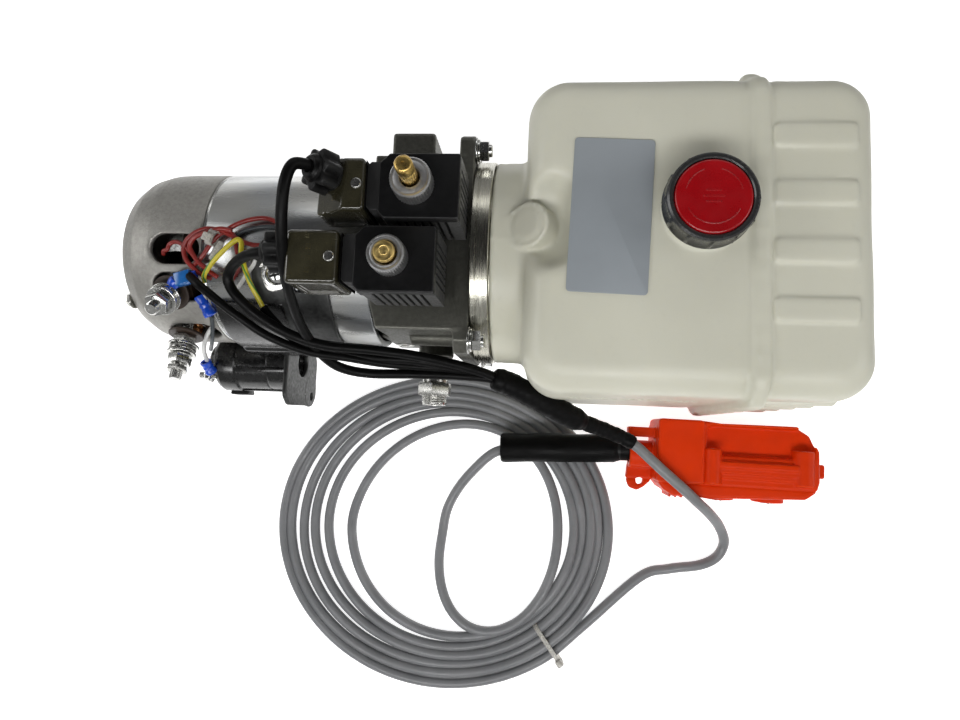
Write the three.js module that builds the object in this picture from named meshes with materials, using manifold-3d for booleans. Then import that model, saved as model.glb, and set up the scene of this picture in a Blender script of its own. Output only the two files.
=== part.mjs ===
// Horizontal 12 V hydraulic power unit: DC motor, gear pump in an aluminium
// manifold, two solenoid cartridge valves, plastic tank, start relay, cable
// harness and a wired hand pendant. Millimetres, +Z up.
//
// Frame: origin at the centre of the manifold's bottom mounting face, +X along
// the motor shaft towards the tank, +Z up towards the filler cap and the coils.
// The motor lies on the -X side, the relay and the pendant on the -Y side.
import * as THREE from 'three';
import { mergeVertices } from 'three/addons/utils/BufferGeometryUtils.js';
import Module from 'manifold-3d';

const wasm = await Module();
wasm.setup();

// ---------------------------------------------------------------- dimensions
const QUARTER = Math.PI / 2;
const AXIS_Z = 50;          // shaft height above the mounting face
const FLOOR_Z = -42;        // the tank's underside
const GAP = 0.3;            // clearance between neighbouring solids

// motor: stations are distances from the origin along the shaft, towards -X
const MOTOR_R = 57, YOKE_WALL = 4, MOTOR_SEAM = 134, MOTOR_END = 204;
const SHAFT_R = 6;
const BRUSH_TURNS = [0, Math.PI];

// manifold
const MANI_X0 = -30, MANI_X1 = 31.5, MANI_TOP = 100;
const FLANGE_X0 = 22;       // tank-side flange
const FLANGE_HALF = 71, FLANGE_CORNER = 16;
const OUTLET_XZ = [3, 35];
const RELIEF_YZ = [49, 8.5];

// adapter ring between the flange and the tank, and the bolts round it
const RING_R = 66.2, RING_X1 = 43.2;
const BOLT_CIRCLE_R = RING_R + 8.9;
const BOLT_YZ = [[60, 92], [60, 8], [-50, 92], [-50, 8]];   // these give the directions only

// pump: the drive gear is on the shaft axis, the driven gear below it
const GEAR_TEETH = 11, GEAR_MODULE = 2.6, GEAR_W = 13;
const ADDENDUM = 0.85;      // tooth height above the pitch circle, in modules
const PITCH_R = GEAR_TEETH * GEAR_MODULE / 2;
const TIP_R = PITCH_R + GEAR_MODULE * ADDENDUM;
const POCKET_R = TIP_R + 0.5;
const CENTRES = 2 * PITCH_R + 0.22;
const DRIVEN_Z = AXIS_Z - CENTRES, PUMP_MID_Z = AXIS_Z - CENTRES / 2;
const PUMP_X0 = MANI_X1 + GAP, GEAR_X0 = PUMP_X0 + 5 + GAP, GEAR_X1 = GEAR_X0 + GEAR_W;
const JOURNAL_R = 7, JOURNAL_BORE_R = 7.6;
const JOURNAL_X1 = GEAR_X1 + 9;
const SUCTION_Y = 14;

// solenoid valves
const VALVE_UPPER = [5, 18.5], VALVE_LOWER = [-6, -21.5];
const COIL_LENGTH = 44, COIL_WIDTH = 36, COIL_Z0 = 108.3, COIL_Z1 = 150;
const COIL_LUG = 6.5;       // block on the coil's -X side, facing the plug

// tank
const TANK_X0 = 64, TANK_X1 = 254, TANK_HALF = 90.5, TANK_Y = 2.5, TANK_TOP = 130;
const TANK_R = 22, TANK_BEVEL = 16, TANK_WALL = 3;
const NECK_R = 65.6;
const BAND_X0 = 187, BAND_X1 = 196, BAND_RISE = 2.4;
const CAP_X = 161, CAP_Y = 13.5, CAP_R = 24.5, CAP_TOP = 151;

// start relay
const RELAY_Y = -66.5, RELAY_Z = 4.5, RELAY_R = 21.5;

// pendant and its cable
const LEAD_R = 3.1, TRUNK_R = 5.6, PENDANT_CABLE_R = 3.75;
const CABLE_FLOOR_Z = -38.2;
const PENDANT_Z0 = FLOOR_Z + 0.2, PENDANT_Z1 = PENDANT_Z0 + 44;
const PENDANT_MID = (PENDANT_Z0 + PENDANT_Z1) / 2;
const PENDANT_WALL = 3.4;
const BUTTON_X = [61, 96];

// ----------------------------------------------------------------- materials
const MATERIALS = {   // colour, roughness, metalness
  zinc: [0x8f8c84, 0.42, 0.85],
  barrel: [0xa3a19a, 0.3, 0.9],
  aluminium: [0x77766f, 0.5, 0.75],
  darkSteel: [0x35332f, 0.5, 0.6],
  steel: [0x8d8b86, 0.35, 0.9],
  brass: [0xb08a34, 0.28, 1.0],
  copper: [0xa05a32, 0.4, 0.8],
  mesh: [0x9a9a92, 0.5, 0.7],
  black: [0x101010, 0.5, 0.0],
  coil: [0x0d0d0f, 0.42, 0.0],
  plug: [0x33351f, 0.25, 0.0],
  rubber: [0x161616, 0.8, 0.0],
  carbon: [0x222222, 0.8, 0.0],
  bakelite: [0x3a2618, 0.6, 0.0],
  nylon: [0xd8d4c4, 0.5, 0.0],
  ivory: [0xc9c9b6, 0.5, 0.0],
  red: [0x8c060c, 0.38, 0.0],
  orange: [0xe8430a, 0.45, 0.0],
  grey: [0x77787a, 0.5, 0.0],
  label: [0x7f868c, 0.45, 0.2],
};

// ------------------------------------------------------- solids and booleans
function toSolid(part) {
  if (!(part instanceof THREE.BufferGeometry)) return part;
  for (const key of Object.keys(part.attributes)) {
    if (key !== 'position') part.deleteAttribute(key);
  }
  const welded = mergeVertices(part, 1e-4);
  return new wasm.Manifold(new wasm.Mesh({
    numProp: 3,
    vertProperties: welded.attributes.position.array,
    triVerts: new Uint32Array(welded.index.array),
  }));
}

function toGeometry(part) {
  if (part instanceof THREE.BufferGeometry) return part;
  const mesh = part.getMesh();
  const geometry = new THREE.BufferGeometry();
  geometry.setAttribute('position', new THREE.Float32BufferAttribute(mesh.vertProperties, 3));
  geometry.setIndex(new THREE.Uint32BufferAttribute(mesh.triVerts, 1));
  geometry.computeVertexNormals();
  return geometry;
}

const join = (first, ...rest) =>
  rest.reduce((sum, part) => sum.add(toSolid(part)), toSolid(first));
const cut = (first, ...rest) =>
  rest.reduce((sum, part) => sum.subtract(toSolid(part)), toSolid(first));

function put(parent, name, part, material, position = [0, 0, 0], rotation = [0, 0, 0]) {
  const [color, roughness, metalness] = MATERIALS[material];
  const mesh = new THREE.Mesh(
    toGeometry(part),
    new THREE.MeshStandardMaterial({ color, roughness, metalness }),
  );
  mesh.name = name;
  mesh.position.set(...position);
  mesh.rotation.set(...rotation);
  parent.add(mesh);
}

function addGroup(parent, position, rotation = [0, 0, 0]) {
  const group = new THREE.Group();
  group.position.set(...position);
  group.rotation.set(...rotation);
  parent.add(group);
  return group;
}

// -------------------------------------------------------------- basic shapes
const box = (x0, x1, y0, y1, z0, z1) => new THREE.BoxGeometry(x1 - x0, y1 - y0, z1 - z0)
  .translate((x0 + x1) / 2, (y0 + y1) / 2, (z0 + z1) / 2);

// Cylinders take a nominal fineness, which is thinned here to a number of facets.
function facets(fineness, radius) {
  const least = radius > 12 ? 14 : 10;
  return Math.max(least, 2 * Math.round(fineness * (radius > 40 ? 0.34 : 0.25)));
}
const cylinder = (radius, length, fineness, endRadius = radius) =>
  new THREE.CylinderGeometry(endRadius, radius, length, facets(fineness, radius));
const cylX = (radius, x0, x1, fineness, y = 0, z = 0) =>
  cylinder(radius, x1 - x0, fineness).rotateZ(-QUARTER).translate((x0 + x1) / 2, y, z);
const cylY = (radius, y0, y1, fineness, x, z) =>
  cylinder(radius, y1 - y0, fineness).translate(x, (y0 + y1) / 2, z);
const cylZ = (radius, z0, z1, fineness, x = 0, y = 0, topRadius = radius) =>
  cylinder(radius, z1 - z0, fineness, topRadius).rotateX(QUARTER).translate(x, y, (z0 + z1) / 2);
const hexagon = (radius, length) => new THREE.CylinderGeometry(radius, radius, length, 6);
const hexX = (radius, length, x, y = 0, z = 0) =>
  hexagon(radius, length).rotateZ(-QUARTER).translate(x, y, z);

// Profiles are lists of [radius, height along the axis].
const vectors = points => points.map(point => new THREE.Vector2(...point));
const latheY = (profile, sides) => new THREE.LatheGeometry(vectors(profile), sides);
const latheZ = (profile, sides) => latheY(profile, sides).rotateX(QUARTER);
const closedLatheZ = (profile, sides) => latheZ([...profile, profile[0]], sides);
const ring = (inner, outer, z0, z1, sides) =>
  closedLatheZ([[inner, z0], [outer, z0], [outer, z1], [inner, z1]], sides);

const polygon = points => new THREE.Shape(vectors(points));
function radialShape(count, radiusAt) {
  const points = [];
  for (let i = 0; i < count; i++) {
    const angle = 2 * Math.PI * i / count;
    const radius = radiusAt(i, angle);
    points.push([radius * Math.cos(angle), radius * Math.sin(angle)]);
  }
  return polygon(points);
}
const knurl = (ridges, radius, groove) =>
  radialShape(2 * ridges, i => (i % 2 ? radius - groove : radius));

function roundRect(width, height, radius) {
  const shape = new THREE.Shape();
  const x = width / 2, y = height / 2;
  shape.moveTo(-x + radius, -y);
  shape.lineTo(x - radius, -y);
  shape.absarc(x - radius, -y + radius, radius, -QUARTER, 0);
  shape.lineTo(x, y - radius);
  shape.absarc(x - radius, y - radius, radius, 0, QUARTER);
  shape.lineTo(-x + radius, y);
  shape.absarc(-x + radius, y - radius, radius, QUARTER, Math.PI);
  shape.lineTo(-x, -y + radius);
  shape.absarc(-x + radius, -y + radius, radius, Math.PI, 1.5 * Math.PI);
  return shape;
}

const extrudeZ = (shape, depth, z) =>
  new THREE.ExtrudeGeometry(shape, { depth, bevelEnabled: false }).translate(0, 0, z);
// shape x -> y, shape y -> z, depth -> +X
const extrudeX = (shape, depth, [x, y, z], curveSegments = 6) =>
  new THREE.ExtrudeGeometry(shape, { depth, curveSegments, bevelEnabled: false })
    .rotateX(QUARTER).rotateZ(QUARTER).translate(x, y, z);

// Rounded plate between two heights, its edges bevelled inside the given size.
function slab(width, height, radius, z0, z1, { corner = 3, bevel = 0, bevelSteps = 1 } = {}) {
  const outline = roundRect(
    width - 2 * bevel, height - 2 * bevel, Math.max(0.4, radius - bevel));
  return new THREE.ExtrudeGeometry(outline, {
    depth: z1 - z0 - 2 * bevel,
    curveSegments: corner,
    bevelEnabled: bevel > 0,
    bevelSize: bevel,
    bevelThickness: bevel,
    bevelSegments: bevelSteps,
  }).translate(0, 0, z0 + bevel);
}

function tube(points, radius, steps, sides) {
  const path = points.map(point => new THREE.Vector3(...point));
  return new THREE.ExtrudeGeometry(radialShape(sides, () => radius), {
    steps,
    extrudePath: new THREE.CatmullRomCurve3(path, false, 'catmullrom', 0.5),
    bevelEnabled: false,
  });
}

// --------------------------------------------------------------------- motor
// Motor group: local +Z runs away from the manifold along the shaft, local +X is up.
// Angles round the motor run from up towards -Y.
function motorEndCap() {
  const inner = MOTOR_R - YOKE_WALL;
  const rim = MOTOR_END - MOTOR_SEAM - GAP;
  const profile = [   // radius, distance in from the motor's end; outside first
    [0, 0], [5, 0], [5.8, 1.2], [6.5, 3], [22, 3.6], [36, 6], [46, 11],
    [53, 20], [56.2, 30], [MOTOR_R, 40], [MOTOR_R, rim],
    [inner, rim], [inner, 40], [51.6, 30], [48.5, 21.5],
    [42, 13.5], [33, 9.5], [18.3, 8], [18.3, 24], [13.3, 24], [13.3, 7.5], [0, 7.5],
  ].map(([radius, inset]) => [radius, MOTOR_END - inset]);
  const slotAngles = [0.115, 0.545, 1.22, Math.PI + 0.3];
  // the lathe's faces point outwards when the profile runs the other way
  return cut(latheZ(profile.reverse(), 28), ...slotAngles.map(endCapSlot));
}

// Round-ended slot, long along the shaft, cut outwards.
function endCapSlot(angle) {
  const z0 = MOTOR_SEAM + 2, z1 = 167.5, width = 18.5, innerR = 30;
  const outline = roundRect(width, z1 - z0, width / 2 - 0.01);
  return extrudeX(outline, 40, [innerR, 0, (z0 + z1) / 2], 3).rotateZ(-angle);
}

// Shaft, lamination stack, end windings and commutator as one rotor.
function armature() {
  const shaftEnd = MOTOR_END - 10;
  return latheZ([
    [0, 26], [SHAFT_R, 26], [SHAFT_R, 62],
    [16, 62.5], [27, 65], [30.5, 72], [31, 75], [31, 118], [30.5, 121], [26, 128], [20, 130],
    [21.5, 133.5], [21.5, 152], [SHAFT_R + 2, 152.5],
    [SHAFT_R, 155], [SHAFT_R, shaftEnd], [0, shaftEnd],
  ], 20);
}

// Ring inside the yoke with four inward poles.
function fieldFrame() {
  const poles = [0, 1, 2, 3].map(i =>
    box(33.1, 49, -17, 17, 68, 120).rotateZ(Math.PI / 4 + i * QUARTER));
  return join(ring(47.5, 52.6, 66, 122, 48), ...poles);
}

const brushCarrier = () => cut(
  ring(24.5, 50, 146.6, 150, 28),
  ...BRUSH_TURNS.map(turn => box(21, 36, -6.6, 6.6, 145, 152).rotateZ(turn)),
);

// Radial terminal stud with its nut and washer; local +X points outwards.
function addStud(motor, { tag, angle, station, end, nutR }) {
  const group = addGroup(motor, [0, 0, station], [0, 0, -angle]);
  put(group, `stud_${tag}`, cylX(4, 40, end, 18), 'steel');
  const nut = cut(
    join(hexX(7.5, 6.6, nutR), cylX(9, nutR - 5.2, nutR - 3.0, 24)),
    cylX(4.3, nutR - 12, nutR + 12, 18),
  );
  put(group, `stud_nut_${tag}`, nut, 'steel');
}

function addMotor(parent) {
  const motor = addGroup(parent, [0, 0, AXIS_Z], [0, -QUARTER, 0]);
  const bearingBore = SHAFT_R + 0.35;
  put(motor, 'motor_yoke', ring(MOTOR_R - YOKE_WALL, MOTOR_R, 30.3, MOTOR_SEAM, 44), 'barrel');
  put(motor, 'motor_end_cap', motorEndCap(), 'zinc');
  put(motor, 'armature', armature(), 'copper');
  put(motor, 'drive_coupling', toSolid(ring(bearingBore, 11, 18.6, 36, 18)), 'steel');
  put(motor, 'field_frame', fieldFrame(), 'darkSteel');
  put(motor, 'brush_carrier', brushCarrier(), 'bakelite');
  for (const [i, turn] of BRUSH_TURNS.entries()) {
    put(motor, `brush_${i + 1}`, box(22, 35, -6, 6, 136, 156).rotateZ(turn), 'carbon');
  }
  const rearBearing = ring(bearingBore, 13, MOTOR_END - 22, MOTOR_END - 11, 18);
  put(motor, 'rear_bearing', rearBearing, 'steel');
  put(motor, 'front_bearing', ring(7.4, 13.6, 6.6, 16.6, 18), 'steel');
  addStud(motor, { tag: 'a', angle: 0.60, station: 156, end: 83, nutR: 74.5 });
  addStud(motor, { tag: 'b', angle: 1.25, station: 160, end: 90, nutR: 76.5 });
}

// ------------------------------------------------------------------ manifold
// Tank-side flange with cut corners, drawn in y and z about the shaft axis.
function flange() {
  const bottom = -AXIS_Z, top = MANI_TOP - AXIS_Z;
  const half = FLANGE_HALF, corner = FLANGE_CORNER;
  const outline = polygon([
    [-half + corner, bottom], [half - corner, bottom], [half, bottom + corner],
    [half, top - 7], [half - 3, top - 1.5], [half - 5, top],
    [-half + 13, top], [-half + 6, top - 7], [-half + 6, bottom + corner],
  ]);
  return extrudeX(outline, MANI_X1 - FLANGE_X0, [FLANGE_X0, 0, AXIS_Z]);
}

function manifold() {
  const blank = join(
    box(MANI_X0, FLANGE_X0 + 4, -52, 56, 0, MANI_TOP),
    box(-21.8, 5.5, 50, 74, 18, 92),                    // block on the +Y side
    flange(),
    cylX(7.2, -9, FLANGE_X0 + 2, 20, -50.5, 66),        // line boss on the -Y side
    cylX(11, -9, FLANGE_X0 + 2, 20, 60, 30),            // line boss on the +Y side
    cylY(12, -62, -45, 28, ...OUTLET_XZ),               // outlet port boss
  );
  const edgeCut = polygon([[-31, -53], [-31, -34], [-30, -34], [-25, -53]]);
  return cut(
    blank,
    cylX(14.2, MANI_X0 - 1, -6, 48, 0, AXIS_Z),         // drive bore towards the motor
    cylX(9, -7, MANI_X1 + 1, 28, 0, AXIS_Z),            // shaft bore through to the pump
    cylY(6.8, -63, -30, 20, ...OUTLET_XZ),              // outlet port
    ...[VALVE_UPPER, VALVE_LOWER].map(place => cylZ(9.6, 60, MANI_TOP + 1, 24, ...place)),
    cylX(5.6, MANI_X0 - 1, -8, 18, ...RELIEF_YZ),       // relief valve bore, blind
    ...[[-18, 32], [14, 32], [-18, -32], [14, -32]]     // mounting holes
      .map(place => cylZ(4.3, -1, 16, 16, ...place)),
    extrudeZ(edgeCut, 40, 62),                          // slanted upper edge at -X, -Y
  );
}

// ---------------------------------------------------------------------- pump
function gearShape(phase) {
  const halfPitch = Math.PI / GEAR_TEETH;
  const flank = [   // radius, half tooth width in half pitches; root to tip
    [PITCH_R - GEAR_MODULE * 1.15, 0.62],
    [PITCH_R - 0.9, 0.48],
    [PITCH_R, 0.42],
    [PITCH_R + GEAR_MODULE * ADDENDUM * 0.55, 0.27],
    [TIP_R, 0.10],
  ];
  const tooth = [
    ...flank.map(([radius, width]) => [radius, -width]),
    ...flank.toReversed(),
  ];
  const points = [];
  for (let i = 0; i < GEAR_TEETH; i++) {
    const centre = phase + 2 * Math.PI * i / GEAR_TEETH;
    for (const [radius, offset] of tooth) {
      const angle = centre + halfPitch * offset;
      points.push([radius * Math.cos(angle), radius * Math.sin(angle)]);
    }
  }
  return polygon(points);
}

const gear = (phase, journalX0) => join(
  extrudeX(gearShape(phase), GEAR_W, [GEAR_X0, 0, 0]),
  cylX(JOURNAL_R, journalX0, GEAR_X0 + 1, 24),
  cylX(JOURNAL_R, GEAR_X1 - 1, JOURNAL_X1, 24),
);

const pumpBlock = (x0, x1) =>
  extrudeX(roundRect(44, 76, 20), x1 - x0, [x0, 0, PUMP_MID_Z]);

const pumpBody = () => cut(
  pumpBlock(PUMP_X0, GEAR_X1 + GAP),
  cylX(POCKET_R, GEAR_X0 - GAP, 60, 36, 0, AXIS_Z),
  cylX(POCKET_R, GEAR_X0 - GAP, 60, 36, 0, DRIVEN_Z),
  cylX(JOURNAL_BORE_R, 0, GEAR_X0 + 2, 24, 0, AXIS_Z),
  cylX(JOURNAL_BORE_R, GEAR_X0 - 9, GEAR_X0 + 2, 24, 0, DRIVEN_Z),
);

// Cover with a suction stub on its tank side.
function pumpCover() {
  const x0 = GEAR_X1 + 2 * GAP, boreEnd = GEAR_X1 + 10;
  const plate = cut(
    pumpBlock(x0, x0 + 14),
    cylX(JOURNAL_BORE_R, 30, boreEnd, 24, 0, AXIS_Z),
    cylX(JOURNAL_BORE_R, 30, boreEnd, 24, 0, DRIVEN_Z),
  );
  return cut(
    join(plate, cylX(6.8, boreEnd, GEAR_X1 + 17, 24, SUCTION_Y, PUMP_MID_Z)),
    cylX(3.8, GEAR_X1 + 12, 80, 18, SUCTION_Y, PUMP_MID_Z),
  );
}

// From the cover's stub down to the strainer on the tank floor.
const suctionTube = () => tube([
  [GEAR_X1 + 17.6, SUCTION_Y, PUMP_MID_Z], [GEAR_X1 + 21, SUCTION_Y, PUMP_MID_Z],
  [82, 14, 32], [95, 16, 20], [102, 18, 0], [104, 18, -14], [104, 18, -22.2],
], 5.8, 12, 8);

function addPump(parent) {
  // the drive gear's thin tail enters the coupling
  const driveGear = join(
    gear(Math.PI / GEAR_TEETH - QUARTER, -18),
    cylX(SHAFT_R - 0.2, -25.4, -17, 24),
  );
  put(parent, 'drive_gear', driveGear, 'steel', [0, 0, AXIS_Z]);
  put(parent, 'driven_gear', gear(QUARTER, GEAR_X0 - 4.5), 'steel', [0, 0, DRIVEN_Z]);
  put(parent, 'pump_body', pumpBody(), 'aluminium');
  put(parent, 'pump_cover', pumpCover(), 'aluminium');
  put(parent, 'suction_tube', suctionTube(), 'nylon');
  put(parent, 'suction_strainer', cylZ(15, -37, -22.6, 28, 104, 18), 'mesh');
}

// -------------------------------------------- relief valve, outlet and flange
function reliefSpring() {
  const [y, z] = RELIEF_YZ;
  const steps = 40, turns = 3.5, coilR = 3.7, startX = -17.2, length = 3;
  const points = [];
  for (let i = 0; i <= steps; i++) {
    const angle = i / steps * 2 * Math.PI * turns;
    points.push([
      startX - i / steps * length,
      y + coilR * Math.cos(angle),
      z + coilR * Math.sin(angle),
    ]);
  }
  return tube(points, 0.34, steps, 4);
}

// Poppet, spring and threaded plug in the bore that opens on the motor side.
function addReliefValve(parent) {
  const poppet = latheY([
    [0, 0], [1.4, 0.6], [4.6, 4.2], [4.6, 7.4], [2.2, 7.4], [2.2, 8.4], [0, 8.4],
  ], 20);
  const plug = join(
    cylX(5.1, -29.6, -21.0, 20, ...RELIEF_YZ),
    hexX(6.6, 3, -31.9, ...RELIEF_YZ),
    cylX(4.2, -31, -29, 18, ...RELIEF_YZ),
  );
  put(parent, 'relief_poppet', poppet, 'steel', [-8.4, ...RELIEF_YZ], [0, 0, QUARTER]);
  put(parent, 'relief_spring', reliefSpring(), 'steel');
  put(parent, 'relief_plug', plug, 'steel');
}

function outletFitting() {
  const [x, z] = OUTLET_XZ;
  const outside = join(
    cylY(6.4, -79, -48, 24, x, z),
    cylY(8.4, -82, -62.4, 28, x, z),
    hexagon(12, 9).rotateY(Math.PI / 6).translate(x, -84, z),
    cylY(8.6, -95, -87, 28, x, z),
  );
  return cut(outside, cylY(4.6, -96, -47, 20, x, z));
}

function adapterRing() {
  const inner = 57, spigotR = 61.2, spigotEnd = RING_X1 + 14;
  return closedLatheZ([
    [inner, MANI_X1 + GAP], [RING_R - 1, MANI_X1 + GAP], [RING_R, MANI_X1 + 1.4],
    [RING_R, RING_X1], [spigotR, RING_X1], [spigotR, spigotEnd], [inner, spigotEnd],
  ], 40).rotateY(QUARTER).translate(0, 0, AXIS_Z);
}

// Hexagon heads and washers beyond the ring's rim, on the flange's tank side.
function addFlangeBolts(parent) {
  for (const [i, [y, z]] of BOLT_YZ.entries()) {
    const rise = z - AXIS_Z;
    const scale = BOLT_CIRCLE_R / Math.hypot(y, rise);
    const bolt = join(hexX(6.6, 5.6, 5.0), cylX(7.8, 0.6, 2.3, 24));
    const place = [MANI_X1, y * scale, AXIS_Z + rise * scale];
    put(parent, `flange_bolt_${i + 1}`, bolt, 'steel', place);
  }
}

// ------------------------------------------------------------ solenoid valves
// Round nose in the manifold, hexagon body and a hollow tube through the coil.
function cartridge() {
  const nose = [[0, 62], [7.5, 62], [8.6, 64], [9.2, 72], [9.2, 99.5], [0, 99.5]];
  const stem = join(
    latheZ(nose, 24),
    hexagon(14, 7.4).rotateX(QUARTER).translate(0, 0, 104),
    cylZ(9.2, 99, 101, 24),
    cylZ(7.4, 107, 160, 24),
  );
  return cut(stem, cylZ(5.1, 118, 162, 24));
}

// Rounded block with a lug, two grooves on its -Y side and the tube bore.
function coilBlock(offset) {
  const backX = offset - COIL_LENGTH / 2, sideY = -COIL_WIDTH / 2;
  const block = join(
    slab(COIL_LENGTH, COIL_WIDTH, 2.2, COIL_Z0, COIL_Z1, { bevel: 0.8 }).translate(offset, 0, 0),
    box(backX - COIL_LUG, backX + 2, -13.5, 13.5, COIL_Z0 + 6, COIL_Z1 - 0.6),
  );
  const grooves = [116, 125].map(z =>
    box(offset - 14, offset + 24, sideY - 1, sideY + 1.2, z, z + 2));
  return cut(block, ...grooves, cylZ(7.8, COIL_Z0 - 1, COIL_Z1 + 1, 24));
}

const coilNut = (radius, pinR) => cut(
  extrudeZ(knurl(24, radius, 0.6), 12.5, COIL_Z1 + GAP),
  cylZ(7.75, COIL_Z1 - 1, 160.4, 24),
  cylZ(pinR + 0.6, 158, 170, 24),
);

// Manual override pin above the plunger.
const overridePin = (radius, top) => latheZ([
  [0, 152], [4.2, 152], [4.2, 159.9], [4.2, 161.2],
  [radius, 161.2], [radius, top - 1], [radius - 0.8, top], [0, top],
], 18);

function cableGland() {
  const grip = radialShape(32, (i, angle) => 9.4 + 0.8 * Math.cos(8 * angle));
  const outside = join(
    extrudeZ(grip, 11, 3),
    cylZ(8, 0.3, 4, 28),
    cylZ(8, 13, 17, 28, 0, 0, 5.6),
  );
  return cut(outside, cylZ(3.9, 8, 20, 18));
}

// glandTurn turns the gland's local +Z to the direction the cable leaves.
function addValve(parent, valve) {
  const { tag, place, coilOffset, pinTop, pinR, nutR, plugShift, glandPlace, glandTurn } = valve;
  const group = addGroup(parent, [...place, 0]);
  const plunger = [[0, 122], [4.2, 122], [4.7, 122.6], [4.7, 144], [4.2, 144.6], [0, 144.6]];
  put(group, `valve_${tag}_cartridge`, cartridge(), 'steel');
  put(group, `valve_${tag}_plunger`, latheZ(plunger, 16), 'darkSteel');
  put(group, `valve_${tag}_coil`, coilBlock(coilOffset), 'coil');
  put(group, `valve_${tag}_coil_nut`, coilNut(nutR, pinR), 'steel');
  put(group, `valve_${tag}_override`, overridePin(pinR, pinTop), 'brass');

  const gland = addGroup(group, glandPlace, glandTurn);
  gland.updateMatrix();
  const lugFace = coilOffset - COIL_LENGTH / 2 - COIL_LUG - GAP;
  // connector body, cut square to the gland's axis
  const plug = cut(
    slab(29, 29.5, 3, 118, 153, { bevel: 1.2 }).translate(lugFace - 14.8 + plugShift, 0, 0),
    box(-24, 24, -24, 24, 0, 40).applyMatrix4(gland.matrix),
  );
  put(group, `valve_${tag}_plug`, plug, 'plug');
  put(gland, `valve_${tag}_gland`, cableGland(), 'black');
}

const VALVES = [
  {
    tag: 'upper', place: VALVE_UPPER, coilOffset: 2.5, pinTop: 181, pinR: 4.7, nutR: 11.2,
    plugShift: 0, glandPlace: [-45, 5.5, 147.5], glandTurn: [-0.05, -0.6, 0],
  },
  {
    tag: 'lower', place: VALVE_LOWER, coilOffset: 2.0, pinTop: 165.6, pinR: 5.8, nutR: 10.2,
    plugShift: -1.0, glandPlace: [-57.0, 5.0, 141], glandTurn: [0, -QUARTER, 0],
  },
];

// ------------------------------------------------------------------------ tank
function tankBlock(inset) {
  const length = TANK_X1 - TANK_X0 - 2 * inset, width = 2 * TANK_HALF - 2 * inset;
  const edge = { bevel: TANK_BEVEL - inset * 0.6, bevelSteps: 2 };
  return slab(length, width, TANK_R - inset, FLOOR_Z + inset, TANK_TOP - inset, edge)
    .translate((TANK_X0 + TANK_X1) / 2, TANK_Y, 0);
}

// Welded seam band round the tank.
function seamBand() {
  const outline = roundRect(2 * TANK_HALF + 8.5, TANK_TOP - FLOOR_Z + BAND_RISE, 15);
  const middle = [BAND_X0, TANK_Y - 1.75, (TANK_TOP + FLOOR_Z + BAND_RISE) / 2];
  return extrudeX(outline, BAND_X1 - BAND_X0, middle);
}

function tank() {
  const leftY = TANK_Y + TANK_HALF, rightY = TANK_Y - TANK_HALF;
  const outside = join(
    tankBlock(0),
    seamBand(),
    box(BAND_X0 + 1, BAND_X1 - 1, leftY - 6, leftY + 7, 98, 112),   // tab on the band
    ...[55.5, 23.5, -8.5, -40.5].map(y =>                           // ribs on the top
      slab(46, 13, 5, TANK_TOP - 3, TANK_TOP + 2.2, { bevel: 0.8 }).translate(218.5, y, 0)),
    ...[-22, 8, 38, 68, 98].map(z =>                                // ribs on the -Y side
      box(200, 236, rightY - 1.6, rightY + 2, z, z + 5)),
    cylX(NECK_R, RING_X1 + GAP, TANK_X0 + 6, 48, 0, AXIS_Z),        // neck to the adapter ring
    // breather stub boss on the shoulder
    cylZ(17, 0, 24, 28, 0, 0, 14).rotateY(-0.5).translate(75, 8, 101),
    // filler boss
    cylZ(21.5, TANK_TOP - 4, 134.2, 40, CAP_X, CAP_Y),
    cylZ(17.6, TANK_TOP - 4, 146.4, 36, CAP_X, CAP_Y),
  );
  const cavity = join(
    tankBlock(TANK_WALL),
    cylX(NECK_R - 3, RING_X1 - 1, TANK_X0 + 12, 40, 0, AXIS_Z),
  );
  return cut(outside, cavity, cylZ(14.6, TANK_TOP - 8, 150, 32, CAP_X, CAP_Y));
}

// Knurled cap, hollow below, with a seat for the inlay on top.
function fillerCap() {
  const outside = join(
    extrudeZ(knurl(20, CAP_R, 0.5), 13.2, 137),
    cylZ(CAP_R - 0.6, 150, CAP_TOP + 0.6, 48, 0, 0, CAP_R - 2.4),
  );
  return cut(outside, cylZ(18.2, 136, 147, 40), cylZ(20.2, 149.2, 153, 40));
}

function addTank(parent) {
  const labelZ = TANK_TOP + GAP;
  const label = slab(44, 87, 2, labelZ, labelZ + 0.5, { corner: 4 });
  const inlay = [[0, 149.5], [19.8, 149.5], [19.8, 150.6], [18.8, 151.6], [0, 152.3]];
  const capPlace = [CAP_X, CAP_Y, 0];
  put(parent, 'tank', tank(), 'ivory');
  put(parent, 'label_plate', label, 'label', [111, 9.5, 0], [0, 0, -0.035]);
  put(parent, 'cap_gasket', ring(18.0, 21.4, 134.5, 136.7, 24), 'rubber', capPlace);
  put(parent, 'cap_body', fillerCap(), 'black', capPlace);
  put(parent, 'cap_inlay', latheZ(inlay, 30), 'red', capPlace);
}

// --------------------------------------------------------------- start relay
// Curved strip that follows the barrel on its -Y side.
function saddle() {
  const start = 0.18, end = 1.75, steps = 20;
  const inner = [], outer = [];
  for (let i = 0; i <= steps; i++) {
    const angle = start + (end - start) * i / steps;
    for (const [side, radius] of [[inner, MOTOR_R + 0.3], [outer, MOTOR_R + 2.5]]) {
      side.push([-radius * Math.sin(angle), radius * Math.cos(angle)]);
    }
  }
  return extrudeX(polygon([...inner, ...outer.reverse()]), 26, [-102, 0, AXIS_Z]);
}

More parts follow.
